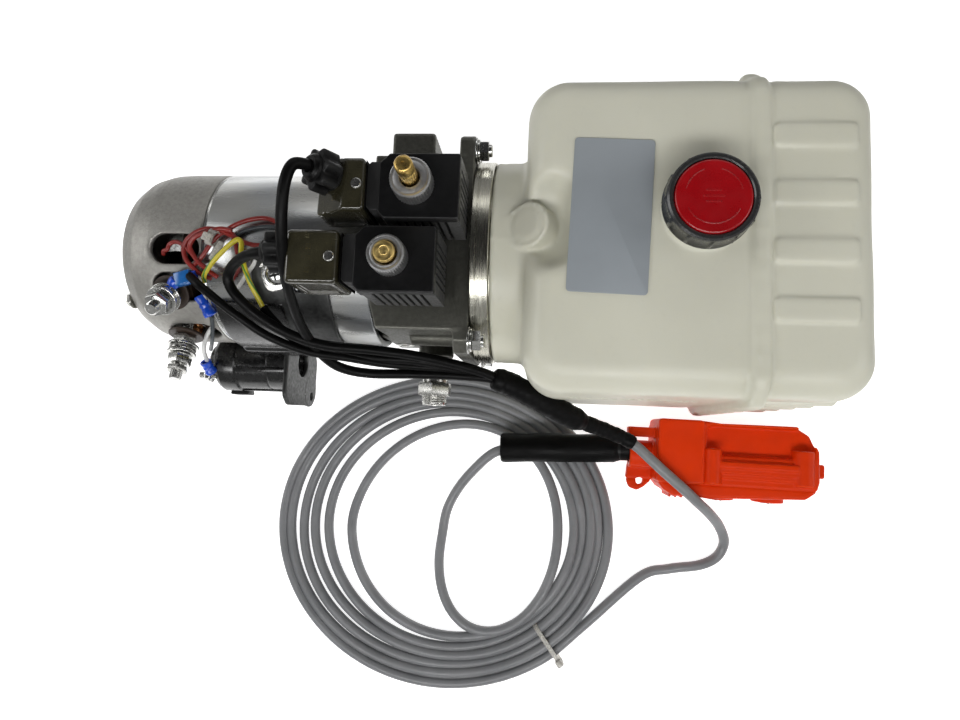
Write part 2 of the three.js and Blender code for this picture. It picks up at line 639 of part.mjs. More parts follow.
function relayBracket() {
  const plateX = [-104.5, -101.5];
  const bracket = join(
    box(...plateX, -98, -52, -27, 36),
    cylX(12, ...plateX, 24, -86, -15),
    box(plateX[0], -76, -58, -55, 20, 42),
    saddle(),
  );
  return cut(
    bracket,
    cylX(10, -106, -100, 24, RELAY_Y, RELAY_Z),
    cylX(MOTOR_R + 0.4, -110, -70, 64, 0, AXIS_Z),
  );
}

// Cross-slotted screw through the saddle; local +Z points out from the barrel.
function addBracketScrew(parent) {
  const group = addGroup(parent, [-86, 0, AXIS_Z], [0.37, 0, 0]);
  const slotZ = [MOTOR_R + 4.6, MOTOR_R + 8];
  const head = cylZ(6.6, MOTOR_R + 2.9, MOTOR_R + 6.6, 28, 0, 0, 5.6);
  const cross = join(box(-3.6, 3.6, -0.7, 0.7, ...slotZ), box(-0.7, 0.7, -3.6, 3.6, ...slotZ));
  put(group, 'bracket_screw', cut(head, cross), 'steel');
}

function addRelay(parent) {
  const place = [0, RELAY_Y, RELAY_Z], turn = [0, -QUARTER, 0];
  const can = latheZ([
    [0, 105], [RELAY_R, 105], [RELAY_R, 108], [RELAY_R - 1, 108.6], [RELAY_R - 1, 146],
    [RELAY_R + 0.4, 147], [RELAY_R + 0.4, 160], [RELAY_R - 2, 163],
    [12, 163], [12, 168], [10, 170], [0, 170],
  ], 24);
  const plunger = [[0, 108], [7.4, 108], [8, 108.6], [8, 130], [7.4, 130.6], [0, 130.6]];
  put(parent, 'relay_bracket', relayBracket(), 'darkSteel');
  addBracketScrew(parent);
  put(parent, 'relay', cut(can, cylZ(8.4, 104, 136, 24)), 'black', place, turn);
  put(parent, 'relay_plunger', latheZ(plunger, 18), 'steel', place, turn);
}

// -------------------------------------------------------------------- cables
// Centre lines, x, y, z. The two valve leads join into one heat-shrunk run.
const TRUNK = [
  [-35, -76, 80], [8, -79, 66], [46, -77, 54], [66, -87, 44],
  [84, -98, 34], [104, -103, 20], [124, -107.5, 10], [139.4, -113.6, 6.8],
];
const LEAD_UPPER = [
  [-48.4, 24.7, 159.5], [-53.0, 25.1, 166.2], [-60, 21, 170], [-66, 10, 168], [-68, -6, 161],
  [-69, -20, 155.5], [-71, -35, 140], [-72, -48, 117], [-62, -66, 96], ...TRUNK,
];
const LEAD_LOWER = [
  [-73.5, -16.5, 141], [-82, -16.5, 141], [-92, -17, 135], [-104, -19.5, 120.5],
  [-111, -28, 117.5], [-103, -44, 109], [-80, -62, 97], [-56, -73, 87], ...TRUNK,
];
const harness = () => join(
  tube(LEAD_UPPER, LEAD_R, 28, 5),
  tube(LEAD_LOWER, LEAD_R, 30, 5),
  tube(TRUNK.slice(1), TRUNK_R, 14, 7),
);

// Pendant cable: from the harness down to the floor, then the coil, then the sleeve.
const CABLE_START = [
  [142.6, -116.4, 6.8], [152, -126, 6.6], [161, -135.5, 6.2], [171, -144.8, -1.5],
  [183, -153.5, -10.5], [197, -163, -18.5], [209, -176, -29], [215, -188, -36.6],
  [210, -199, CABLE_FLOOR_Z], [197, -205.5, CABLE_FLOOR_Z],
  [172, -211, CABLE_FLOOR_Z], [150, -219.5, CABLE_FLOOR_Z],
];
const CABLE_END = [
  [10, -168, -36], [20, -148, -31], [32, -132, -25.5], [43, -124.3, -22], [53, -123.0, -21.6],
];
// Extents of the coil turn by turn, at its +X, -Y, -X and +Y sides: the turns lie
// side by side at +X and -Y and fan out at -X.
const TURNS_RIGHT = [136.9, 128.6, 120.3, 112, 103.7, 95.4, 80];
const TURNS_BOTTOM = [-302.8, -294.5, -286.2, -277.9, -269.6, -261.3, -240];
const TURNS_LEFT = [-125.3, -117, -107.1, -97.3, -86, -70, 2.6];
const TURNS_TOP = [-74, -82.4, -90.8, -99.2, -108.2, -119.5, -128];

// Linear interpolation in a list, held at its ends.
function sample(list, position) {
  const held = Math.min(Math.max(position, 0), list.length - 1);
  const i = Math.min(Math.floor(held), list.length - 2);
  return list[i] + (list[i + 1] - list[i]) * (held - i);
}

function pendantCable() {
  const points = [...CABLE_START];
  const pointsPerTurn = 20;
  for (let i = 2; i <= 130; i++) {
    const turn = i / pointsPerTurn;
    const angle = -2 * Math.PI * turn;
    const right = sample(TURNS_RIGHT, turn), bottom = sample(TURNS_BOTTOM, turn - 0.25);
    const left = sample(TURNS_LEFT, turn - 0.5), top = sample(TURNS_TOP, turn - 0.75);
    points.push([
      (right + left) / 2 + (right - left) / 2 * Math.cos(angle),
      (top + bottom) / 2 + (top - bottom) / 2 * Math.sin(angle),
      CABLE_FLOOR_Z,
    ]);
  }
  return tube([...points, ...CABLE_END], PENDANT_CABLE_R, 196, 5);
}

function addCables(parent) {
  const sleeve = cut(
    join(cylX(11, 0, 92, 28), cylX(9, 91, 98.2, 24)),
    cylX(6.4, -1, 60, 20),
  );
  put(parent, 'harness', harness(), 'black');
  put(parent, 'pendant_cable', pendantCable(), 'grey');
  put(parent, 'pendant_sleeve', sleeve, 'rubber', [46.2, -123.2, -21.6], [0, 0, 0.035]);
}

// ------------------------------------------------------------------- pendant
// Two housing halves, joined at mid height, with two thumb buttons facing -Y.
// Local +X runs along the housing, away from the cable.
const PENDANT_OUTLINE = [   // x, y
  [0, -12], [6, -16], [20, -17.5], [24, -26], [52, -27], [56, -25.5], [124, -25.5],
  [128, -22], [128, -10], [131, -9], [131, 1.5], [128, 3], [128, 15], [124, 22],
  [70, 25.5], [30, 25.5], [14, 22], [6, 16], [0, 12],
];

// Half housing from z0 to z1, hollowed from hollowZ0 to hollowZ1.
function pendantHalf(z0, z1, hollowZ0, hollowZ1) {
  const bevelThickness = 2, bevelSize = 1.6;
  const block = new THREE.ExtrudeGeometry(polygon(PENDANT_OUTLINE), {
    depth: z1 - z0 - 2 * bevelThickness,
    bevelEnabled: true,
    bevelThickness,
    bevelSize,
    bevelOffset: -bevelSize,
    bevelSegments: 1,
  }).translate(0, 0, z0 + bevelThickness);
  return cut(
    block,
    box(8, 122, -4, 19, hollowZ0, hollowZ1),
    box(58.5, 122, -21, 19, hollowZ0, hollowZ1),
    ...BUTTON_X.map(x => cylY(8.6, -30, -14.5, 28, x, PENDANT_MID)),
    cylX(4.3, -4, 12, 20, 0, PENDANT_MID),      // cable entry
    box(-4, 57, -32, -7, -20.2, 10),            // the guard beside the cable is low
  );
}

// Lower half with its lanyard eye.
function lowerShell() {
  const z0 = PENDANT_Z0, z1 = PENDANT_MID - 0.15;
  const half = pendantHalf(z0, z1, z0 + PENDANT_WALL, z1 + 1);
  return cut(
    join(half, cylZ(8, z0 + 6, z0 + 12, 28, 2, -20)),
    cylZ(4.2, z0, z0 + 20, 20, 2, -20),
  );
}

// Upper half with two screw towers, a rounded recess and a raised ledge.
function upperShell() {
  const z0 = PENDANT_MID + 0.15, z1 = PENDANT_Z1;
  let half = pendantHalf(z0, z1, z0 - 1, z1 - PENDANT_WALL);
  for (const x of [69, 118]) {
    half = join(half, cylZ(9, z1 - 6, z1 + 2.2, 28, x, 0));
    half = cut(half, cylZ(3.6, z1 - 1.6, z1 + 4, 18, x, 0));
  }
  const recess = slab(32, 19, 3, z1 - 2.2, z1 + 3, { corner: 4 }).translate(96, 11.5, 0);
  return join(cut(half, recess), box(26, 60, -4, 8, z1 - 4, z1 + 1.8));
}

function addPendant(parent) {
  const pendant = addGroup(parent, [145, -123.5, 0], [0, 0, -0.02]);
  put(pendant, 'pendant_shell_lower', lowerShell(), 'orange');
  put(pendant, 'pendant_shell_upper', upperShell(), 'orange');
  for (const [i, name] of ['button_raise', 'button_lower'].entries()) {
    const button = latheY([[0, 0], [8.1, 0], [8.1, 9.2], [7.2, 10.4], [0, 11]], 26);
    put(pendant, name, button.rotateX(Math.PI), 'black', [BUTTON_X[i], -18.5, PENDANT_MID]);
  }
}

// ------------------------------------------------------------------ assembly
const unit = new THREE.Group();
addMotor(unit);
put(unit, 'manifold', manifold(), 'aluminium');
addPump(unit);
addReliefValve(unit);
put(unit, 'outlet_fitting', outletFitting(), 'steel');
put(unit, 'adapter_ring', adapterRing(), 'zinc');
addFlangeBolts(unit);
for (const valve of VALVES) addValve(unit, valve);
addTank(unit);
addRelay(unit);
addCables(unit);
addPendant(unit);

export default unit;
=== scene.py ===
"""Motor-driven pump unit: motor, valve manifold, tank, relay and a pendant on a coiled cord.

Shapes are in millimetres and become metres when a mesh is made. The motor axis runs along X
at height AXIS_Z, with the motor towards -X and the tank towards +X. +Z is up, the outlet and
the relay face -Y, and the cord and pendant lie on the floor on the -Y side.
"""
import math

import bpy
import bmesh
import numpy as np
from mathutils import Matrix, Vector


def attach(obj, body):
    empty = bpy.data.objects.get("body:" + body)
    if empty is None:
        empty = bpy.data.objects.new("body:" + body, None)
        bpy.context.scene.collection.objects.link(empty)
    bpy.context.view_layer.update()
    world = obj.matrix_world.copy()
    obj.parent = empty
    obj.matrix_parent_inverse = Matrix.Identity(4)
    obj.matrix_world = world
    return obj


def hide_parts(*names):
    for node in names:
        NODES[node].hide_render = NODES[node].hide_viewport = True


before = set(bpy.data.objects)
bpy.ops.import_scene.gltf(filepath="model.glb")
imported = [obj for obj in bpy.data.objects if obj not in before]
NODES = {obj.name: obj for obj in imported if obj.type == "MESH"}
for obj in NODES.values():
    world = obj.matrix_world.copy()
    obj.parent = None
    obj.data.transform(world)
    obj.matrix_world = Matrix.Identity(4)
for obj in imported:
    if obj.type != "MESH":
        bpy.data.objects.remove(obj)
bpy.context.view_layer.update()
MM = 0.001

AXIS_Z = 50
BARREL_R = 57
RING_R = 66.2                    # adapter ring between the manifold and the tank
UPPER_VALVE = (5, 18.5)          # x, y of the two valve axes
LOWER_VALVE = (-6, -21.5)
RELAY_Y, RELAY_Z = -66.5, 4.5    # relay axis, which runs along X
CAP_X, CAP_Y = 161, 13.5         # filler cap axis
LABEL_X, LABEL_Y = 111, 9.5
CORD_Z = -38.2                   # centre height of the cord on the floor
SLEEVE_Z = -21.6


# ---------------------------------------------------------------- materials
class Graph:
    """Adds shader nodes to one node tree."""

    def __init__(self, tree):
        self.tree = tree

    def feed(self, socket, value):
        """Links a socket to the input, or stores a plain value in it."""
        if isinstance(value, bpy.types.NodeSocket):
            self.tree.links.new(value, socket)
        else:
            socket.default_value = value

    def node(self, kind, slots=None, **values):
        """New node. slots go to inputs by index, values to the input or setting of that name."""
        made = self.tree.nodes.new("ShaderNode" + kind)
        for index, value in (slots or {}).items():
            self.feed(made.inputs[index], value)
        for key, value in values.items():
            if value is None:
                continue
            if key in made.inputs:
                self.feed(made.inputs[key], value)
            else:
                setattr(made, key, value)
        return made

    def noise(self, vector, **values):
        return self.node("TexNoise", Vector=vector, **values).outputs["Fac"]

    def remap(self, source, from_lo, from_hi, to_lo=0.0, to_hi=1.0):
        slots = {0: source, 1: from_lo, 2: from_hi, 3: to_lo, 4: to_hi}
        return self.node("MapRange", slots).outputs[0]

    def mix(self, factor, first, second):
        return self.node("Mix", {0: factor, 6: first, 7: second}, data_type="RGBA").outputs[2]

    def math(self, operation, *inputs):
        return self.node("Math", dict(enumerate(inputs)), operation=operation).outputs[0]

    def principled(self):
        return next(n for n in self.tree.nodes if n.type == "BSDF_PRINCIPLED")


def finish(name, color, drift, rough, metal=0.0, tint=None, dirt=0.0, edge=None, grain=None,
           scratch=0.0, bevel=0.0, stretch=(1, 1, 1), coat=0.0, scatter=None, clear=0.0,
           ior=1.5, spec=0.5):
    """Procedural finish in object space; lengths are in metres.

    drift: colour variation and its noise scale; variation 0 leaves the base colour unlinked
    rough: roughness and how far it wanders either way
    tint: second colour, its share and its noise scale
    dirt, edge: share of dark specks; colour and share of worn edges, found by pointiness (on the
    orange moulding the lighter edges are a painted highlight)
    grain: bump strength and noise scale; scratch: strength of fine lines along X
    scatter: subsurface weight and scale; clear: transmission
    """
    mat = bpy.data.materials.new(name)
    mat.use_nodes = True
    tree = mat.node_tree
    tree.nodes.clear()
    graph = Graph(tree)
    output = graph.node("OutputMaterial")
    shader = graph.node("BsdfPrincipled")
    graph.feed(output.inputs[0], shader.outputs[0])
    where = graph.node("TexCoord").outputs["Object"]
    stretched = graph.node("Mapping", Vector=where, Scale=stretch).outputs[0]

    variation, scale = drift
    if variation:
        low = [max(0.0, c * (1 - variation)) for c in color]
        high = [min(1.0, c * (1 + variation)) for c in color]
        cloud = graph.noise(stretched, Scale=scale, Detail=4.0, Roughness=0.6)
        base = graph.mix(graph.remap(cloud, 0.3, 0.7), (*low, 1), (*high, 1))
        if tint:
            tint_color, share, tint_scale = tint
            cloud = graph.noise(where, Scale=tint_scale, Detail=3.0)
            base = graph.mix(graph.remap(cloud, 0.42, 0.7, to_hi=share), base, (*tint_color, 1))
        if dirt:
            specks = graph.remap(graph.noise(where, Scale=260.0, Detail=5.0), 0.6, 0.75,
                                 to_hi=dirt)
            base = graph.mix(specks, base, (*[c * 0.35 for c in color], 1))
        if edge:
            edge_color, share = edge
            point = graph.node("NewGeometry").outputs["Pointiness"]
            base = graph.mix(graph.remap(point, 0.52, 0.62, to_hi=share), base, (*edge_color, 1))
        graph.feed(shader.inputs["Base Color"], base)

    middle, wander = rough
    cloud = graph.noise(stretched, Scale=scale * 2.6, Detail=3.0)
    graph.feed(shader.inputs["Roughness"],
               graph.remap(cloud, 0.3, 0.7, max(0.03, middle - wander), min(1.0, middle + wander)))

    normal = None
    if bevel:
        normal = graph.node("Bevel", samples=4, Radius=bevel).outputs[0]
    if grain:
        strength, grain_scale = grain
        height = graph.noise(stretched, Scale=grain_scale, Detail=2.0)
        normal = graph.node("Bump", Strength=strength, Distance=0.0004, Height=height,
                            Normal=normal).outputs[0]
    if scratch:
        lines = graph.node("Mapping", Vector=where, Scale=(1, 14, 14)).outputs[0]
        height = graph.noise(lines, Scale=130.0, Detail=3.0)
        normal = graph.node("Bump", Strength=scratch, Distance=0.0002, Height=height,
                            Normal=normal).outputs[0]
    if normal:
        graph.feed(shader.inputs["Normal"], normal)

    settings = {"Metallic": metal, "Coat Weight": coat, "Coat Roughness": 0.2, "IOR": ior,
                "Specular IOR Level": spec, "Transmission Weight": clear}
    if scatter:
        settings["Subsurface Weight"], settings["Subsurface Scale"] = scatter
        settings["Subsurface Radius"] = (1.0, 0.9, 0.7)
    for key, value in settings.items():
        shader.inputs[key].default_value = value
    mat.diffuse_color = (*color, 1)
    return mat


# metals
BARREL = finish("barrel_zinc", (0.52, 0.52, 0.50), drift=(0.10, 9), rough=(0.27, 0.09),
                metal=0.95, tint=((0.42, 0.46, 0.52), 0.55, 22), stretch=(0.6, 5, 5),
                scratch=0.12, dirt=0.12)
ENDCAP = finish("endcap_cast", (0.36, 0.35, 0.325), drift=(0.14, 420), rough=(0.47, 0.1),
                metal=0.7, grain=(0.45, 1700), tint=((0.40, 0.39, 0.36), 0.4, 18))
ZINC = finish("zinc_plate", (0.50, 0.495, 0.455), drift=(0.10, 60), rough=(0.24, 0.08),
              metal=1.0, tint=((0.44, 0.47, 0.50), 0.5, 30), scratch=0.1, dirt=0.2,
              edge=((0.75, 0.74, 0.7), 0.5))
SOFT_ZINC = finish("zinc_plate_soft", (0.55, 0.545, 0.52), drift=(0.1, 90), rough=(0.26, 0.08),
                   metal=1.0, bevel=0.0005, dirt=0.15, grain=(0.06, 1500))
RING = finish("ring_turned", (0.47, 0.46, 0.40), drift=(0.08, 30), rough=(0.25, 0.08),
              metal=1.0, stretch=(26, 1, 1), tint=((0.50, 0.45, 0.32), 0.35, 14),
              scratch=0.05, grain=(0.25, 90))
ALU = finish("cast_aluminium", (0.125, 0.124, 0.107), drift=(0.16, 300), rough=(0.46, 0.12),
             metal=0.72, grain=(0.28, 1300), tint=((0.085, 0.085, 0.07), 0.6, 34),
             edge=((0.46, 0.46, 0.43), 0.8), dirt=0.2)
CUT_ALU = finish("machined_aluminium", (0.34, 0.335, 0.31), drift=(0.12, 200),
                 rough=(0.42, 0.1), metal=0.85, grain=(0.2, 1500), bevel=0.0005)
STEEL = finish("plated_steel", (0.55, 0.55, 0.54), drift=(0.12, 240), rough=(0.25, 0.09),
               metal=1.0, grain=(0.1, 900), bevel=0.00035, dirt=0.25)
BRIGHT = finish("bright_zinc", (0.62, 0.62, 0.60), drift=(0.12, 330), rough=(0.2, 0.08),
                metal=1.0, grain=(0.06, 1500), dirt=0.25)
DARK_STEEL = finish("grey_passivated", (0.05, 0.051, 0.05), drift=(0.2, 160),
                    rough=(0.42, 0.12), metal=0.8, grain=(0.15, 800),
                    edge=((0.35, 0.35, 0.34), 0.5), dirt=0.3)
# a spare finish: no piece wears it yet
finish("copper_winding", (0.42, 0.20, 0.10), drift=(0.22, 500), rough=(0.35, 0.12), metal=0.9,
       grain=(0.4, 700))
COPPER_BOLT = finish("copper_bolt_head", (0.55, 0.24, 0.10), drift=(0.2, 600),
                     rough=(0.3, 0.1), metal=1.0, grain=(0.1, 1500))
BAKELITE = finish("phenolic", (0.032, 0.019, 0.012), drift=(0.2, 300), rough=(0.45, 0.12),
                  grain=(0.2, 1500), bevel=0.0004)
CARBON = finish("sintered_carbon", (0.035, 0.035, 0.035), drift=(0.25, 900), rough=(0.6, 0.12),
                metal=0.1, grain=(0.4, 1500), bevel=0.0004)
COIL = finish("coil_thermoplastic", (0.0022, 0.0022, 0.0025), drift=(0.25, 160),
              rough=(0.36, 0.08), grain=(0.22, 2200), edge=((0.10, 0.10, 0.10), 0.7), spec=0.16)
KNURL = finish("knurled_alu", (0.42, 0.42, 0.42), drift=(0.1, 320), rough=(0.38, 0.1),
               metal=0.9, grain=(0.15, 1500), edge=((0.6, 0.6, 0.6), 0.8))
BRASS = finish("turned_brass", (0.70, 0.49, 0.16), drift=(0.14, 500), rough=(0.34, 0.09),
               metal=1.0, tint=((0.40, 0.22, 0.06), 0.35, 120), grain=(0.08, 1500))
# plastics and rubber
SMOKY = finish("smoky_moulding", (0.055, 0.050, 0.028), drift=(0.3, 90), rough=(0.09, 0.05),
               grain=(0.05, 1500), clear=0.45, ior=1.49, coat=0.5, spec=0.6)
PLUG_CORE = finish("connector_core", (0.030, 0.026, 0.015), drift=(0.5, 160),
                   rough=(0.35, 0.15), metal=0.1, grain=(0.5, 240))
BLACK = finish("black_moulding", (0.0028, 0.0028, 0.0028), drift=(0.3, 200), rough=(0.36, 0.1),
               grain=(0.25, 1900), edge=((0.09, 0.09, 0.09), 0.6), spec=0.18)
RELAY = finish("relay_paint", (0.003, 0.003, 0.003), drift=(0.3, 80), rough=(0.27, 0.08),
               grain=(0.10, 600), coat=0.3)
RUBBER = finish("heat_shrink", (0.0024, 0.0024, 0.0024), drift=(0.35, 60), rough=(0.5, 0.14),
                grain=(0.3, 500), stretch=(0.4, 1, 1), spec=0.10)
BLACK_CABLE = finish("black_jacket", (0.0026, 0.0026, 0.0026), drift=(0.3, 70),
                     rough=(0.40, 0.1), grain=(0.22, 1500), dirt=0.3, spec=0.12)
GREY_CABLE = finish("grey_pvc", (0.205, 0.208, 0.215), drift=(0.1, 26), rough=(0.4, 0.1),
                    tint=((0.15, 0.155, 0.165), 0.5, 40), grain=(0.12, 1200), dirt=0.1)
IVORY = finish("ivory_polyethylene", (0.66, 0.652, 0.545), drift=(0.03, 14),
               rough=(0.42, 0.08), tint=((0.60, 0.59, 0.475), 0.4, 9), grain=(0.16, 240),
               scatter=(0.15, 0.006), spec=0.45, dirt=0.03)
LABEL = finish("label_film", (0.33, 0.36, 0.385), drift=(0.04, 30), rough=(0.36, 0.05),
               metal=0.1, grain=(0.05, 1500), scratch=0.02)
RED = finish("cap_red_gloss", (0.33, 0.002, 0.005), drift=(0.12, 40), rough=(0.3, 0.08),
             grain=(0.14, 800), coat=0.25)
CAP = finish("cap_black", (0.006, 0.006, 0.006), drift=(0.25, 120), rough=(0.25, 0.07),
             grain=(0.10, 900), coat=0.3, edge=((0.12, 0.12, 0.12), 0.5))
# signal orange: the lighter, yellower orange on its sharp edges is a painted highlight
ORANGE = finish("signal_orange", (0.68, 0.035, 0.0008), drift=(0.06, 50), rough=(0.42, 0.07),
                grain=(0.22, 1500), scatter=(0.05, 0.002), edge=((1.0, 0.17, 0.02), 0.35),
                spec=0.13)
WIRE_RED = finish("wire_dark_red", (0.23, 0.018, 0.014), drift=(0.2, 90), rough=(0.36, 0.1),
                  grain=(0.1, 1500))
WIRE_YELLOW = finish("wire_yellow", (0.62, 0.52, 0.03), drift=(0.1, 90), rough=(0.36, 0.12),
                     grain=(0.1, 1500))
WIRE_GREEN = finish("wire_green", (0.05, 0.22, 0.03), drift=(0.1, 90), rough=(0.36, 0.12),
                    grain=(0.1, 1500))
WIRE_WHITE = finish("wire_white", (0.72, 0.72, 0.70), drift=(0.05, 90), rough=(0.36, 0.12),
                    grain=(0.1, 1500))
WIRE_SLATE = finish("wire_slate", (0.045, 0.055, 0.062), drift=(0.1, 90), rough=(0.4, 0.12),
                    grain=(0.1, 1500))
BLUE = finish("crimp_blue", (0.008, 0.07, 0.55), drift=(0.15, 160), rough=(0.22, 0.07),
              grain=(0.1, 1500), coat=0.4)
PALE_BLUE = finish("spade_blue", (0.02, 0.16, 0.50), drift=(0.2, 160), rough=(0.16, 0.05),
                   grain=(0.05, 1500), coat=0.4, clear=0.25)
NYLON = finish("nylon_clear", (0.62, 0.60, 0.55), drift=(0.06, 120), rough=(0.25, 0.12),
               grain=(0.1, 1500), clear=0.35, ior=1.4, scatter=(0.1, 0.004))
SHADOW = finish("motor_shadow", (0.008, 0.008, 0.008), drift=(0.5, 120), rough=(0.7, 0.12),
                grain=(0.4, 1500))
# armature copper darkened to brown-black: painted shade inside the motor, seen through the end cap
# windows
ARMATURE_SHADE = finish("armature_painted_shade", (0.045, 0.028, 0.018), drift=(0.35, 420),
                 rough=(0.4, 0.12), metal=0.4, grain=(0.4, 1500), bevel=0.0006)


def turned_brass_face():
    """Brass whose radial tangent gives a turned face its fan-shaped highlight."""
    mat = finish("brass_turned_face", (0.74, 0.54, 0.20), drift=(0.1, 500), rough=(0.36, 0.05),
                 metal=1.0)
    graph = Graph(mat.node_tree)
    shader = graph.principled()
    shader.inputs["Anisotropic"].default_value = 0.85
    tangent = graph.node("Tangent", direction_type="RADIAL", axis="Z")
    graph.feed(shader.inputs["Tangent"], tangent.outputs[0])
    return mat


BRASS_FACE = turned_brass_face()


# ---------------------------------------------------------------- outlines and placement
def fillet(outline, radius, seg=3, closed=True, keep=()):
    """Rounds the corners of a 2-D outline, except the points indexed in keep."""
    points = []
    count = len(outline)
    for i, point in enumerate(outline):
        corner = Vector(point)
        back = Vector(outline[i - 1]) - corner
        ahead = Vector(outline[(i + 1) % count]) - corner
        fixed = i in keep or (not closed and i in (0, count - 1))
        if (fixed or min(back.length, ahead.length) < 1e-6
                or back.angle(ahead) > math.pi - 0.12):
            points.append(tuple(point))
            continue
        reach = min(radius / math.tan(back.angle(ahead) / 2),
                    back.length * 0.45, ahead.length * 0.45)
        start = corner + back.normalized() * reach
        end = corner + ahead.normalized() * reach
        for k in range(seg + 1):
            t = k / seg
            points.append(tuple((1 - t) ** 2 * start + 2 * t * (1 - t) * corner + t * t * end))
    return points


def rrect(width, height, corner, x=0, y=0, seg=5):
    points = []
    for side_x, side_y, start in ((1, 1, 0), (-1, 1, 90), (-1, -1, 180), (1, -1, 270)):
        for k in range(seg + 1):
            a = math.radians(start + 90 * k / seg)
            points.append((x + side_x * (width / 2 - corner) + corner * math.cos(a),
                           y + side_y * (height / 2 - corner) + corner * math.sin(a)))
    return points


def hexagon(radius, phase=0.0):
    angles = [phase + 2 * math.pi * k / 6 for k in range(6)]
    return [(radius * math.cos(a), radius * math.sin(a)) for a in angles]


def basis(at, z_axis, x_axis=None):
    """Placement whose local Z is z_axis and whose local X lies near x_axis."""
    z = Vector(z_axis).normalized()
    if x_axis is None:
        x_axis = (1, 0, 0) if abs(z.x) < 0.9 else (0, 1, 0)
    x = Vector(x_axis)
    x = (x - z * x.dot(z)).normalized()
    place = Matrix((x, z.cross(x), z)).transposed().to_4x4()
    place.translation = Vector(at)
    return place


def move(x, y, z):
    return Matrix.Translation((x, y, z))


def turn(angle, axis):
    return Matrix.Rotation(angle, 4, axis)


def motor_radial(angle):
    """Unit direction out from the motor axis, at an angle from +Z towards -Y."""
    return Vector((0, -math.sin(angle), math.cos(angle)))


MOTOR_AXIS = basis((0, 0, AXIS_Z), (1, 0, 0), (0, 1, 0))


# ---------------------------------------------------------------- solids
def loft(rings, loop=False):
    """Skins equal rings of points; loop also joins the last ring to the first."""
    mesh = bmesh.new()
    rows = [[mesh.verts.new(point) for point in ring] for ring in rings]
    for low, high in list(zip(rows, rows[1:])) + ([(rows[-1], rows[0])] if loop else []):
        for k in range(len(low)):
            j = (k + 1) % len(low)
            mesh.faces.new((low[k], low[j], high[j], high[k]))
    return mesh, rows


def hoop(rings, place):
    """Closed tube of rings, such as a fluted nut or a strap."""
    mesh, _ = loft(rings, loop=True)
    bmesh.ops.recalc_face_normals(mesh, faces=mesh.faces)
    mesh.transform(place)
    return mesh


def lathe(profile, sides, place, closed=False):
    """Turned solid: profile is (radius, height) pairs along local Z."""
    mesh = bmesh.new()
    rings = []
    for r, h in profile:
        if r < 1e-6:
            rings.append([mesh.verts.new((0, 0, h))])
            continue
        angles = [2 * math.pi * k / sides for k in range(sides)]
        rings.append([mesh.verts.new((r * math.cos(a), r * math.sin(a), h)) for a in angles])
    for low, high in list(zip(rings, rings[1:])) + ([(rings[-1], rings[0])] if closed else []):
        for k in range(sides):
            j = (k + 1) % sides
            corners = []
            for vert in (low[k % len(low)], low[j % len(low)],
                         high[j % len(high)], high[k % len(high)]):
                if vert not in corners:
                    corners.append(vert)
            if len(corners) > 2:
                mesh.faces.new(corners)
    bmesh.ops.recalc_face_normals(mesh, faces=mesh.faces)
    mesh.transform(place)
    return mesh


def washer(r_in, r_out, z0, z1, rounding, sides, place):
    section = [(r_in, z0), (r_out, z0), (r_out, z1), (r_in, z1)]
    return lathe(fillet(section, rounding), sides, place, closed=True)


def prism(outline, z0, z1, bev=0.4, place=None, seg=2, foot=None):
    """Extruded outline with rims rounded by bev; foot is the rounding at z0 if it differs."""
    points = [Vector(p) for p in outline]
    count = len(points)
    area = sum(points[i].x * points[(i + 1) % count].y - points[(i + 1) % count].x * points[i].y
               for i in range(count))
    if area < 0:
        points.reverse()
    normals = []
    for i in range(count):
        sides = []
        for side in (points[i] - points[i - 1], points[(i + 1) % count] - points[i]):
            sides.append(Vector((side.y, -side.x)).normalized() if side.length > 1e-9
                         else Vector((0, 0)))
        middle = sides[0] + sides[1]
        if middle.length < 1e-6:
            middle = sides[0]
        middle.normalize()
        normals.append(middle / max(0.45, middle.dot(sides[0])))
    if foot is None:
        foot = bev
    angles = [k / seg * math.pi / 2 for k in range(seg + 1)]
    levels = [(-foot * (1 - math.sin(a)), z0 + foot * (1 - math.cos(a))) for a in angles]
    levels += [(-bev * (1 - math.cos(a)), z1 - bev * (1 - math.sin(a))) for a in angles]
    mesh, rows = loft([[(*(p + n * offset), z) for p, n in zip(points, normals)]
                       for offset, z in levels])
    mesh.faces.new(list(reversed(rows[0])))
    mesh.faces.new(rows[-1])
    if place is not None:
        mesh.transform(place)
    return mesh


def star_ring(profile, flutes, place):
    """Closed turned ring; profile rows are (radius, z, flute depth)."""
    count = flutes * 4
    rings = []
    for r, z, depth in profile:
        ring = []
        for k in range(count):
            radius = r - depth * (0.0 if k % 4 in (0, 1) else 1.0)
            a = 2 * math.pi * k / count
            ring.append((radius * math.cos(a), radius * math.sin(a), z))
        rings.append(ring)
    return hoop(rings, place)


def thread(place, radius, z0, z1, pitch, sides):
    """Shank with V grooves and a chamfered end."""
    profile = [(0, z0), (radius, z0)]
    z = z0
    while z + pitch < z1 - 0.6:
        profile += [(radius, z + pitch * 0.30), (radius - pitch * 0.38, z + pitch * 0.65),
                    (radius, z + pitch)]
        z += pitch
    profile += [(radius, z1 - 0.7), (radius - 0.8, z1), (0, z1)]
    return lathe(profile, sides, place)


def catmull(stations, per=8):
    """Smooth path through the stations, with per points in each span."""
    knots = [Vector(p) for p in stations]
    knots = [knots[0] * 2 - knots[1]] + knots + [knots[-1] * 2 - knots[-2]]
    path = []
    for i in range(1, len(knots) - 2):
        before, start, end, after = knots[i - 1:i + 3]
        for k in range(per):
            t = k / per
            path.append(0.5 * ((2 * start) + (end - before) * t
                               + (2 * before - 5 * start + 4 * end - after) * t * t
                               + (3 * start - before - 3 * end + after) * t ** 3))
    path.append(knots[-2])
    return path


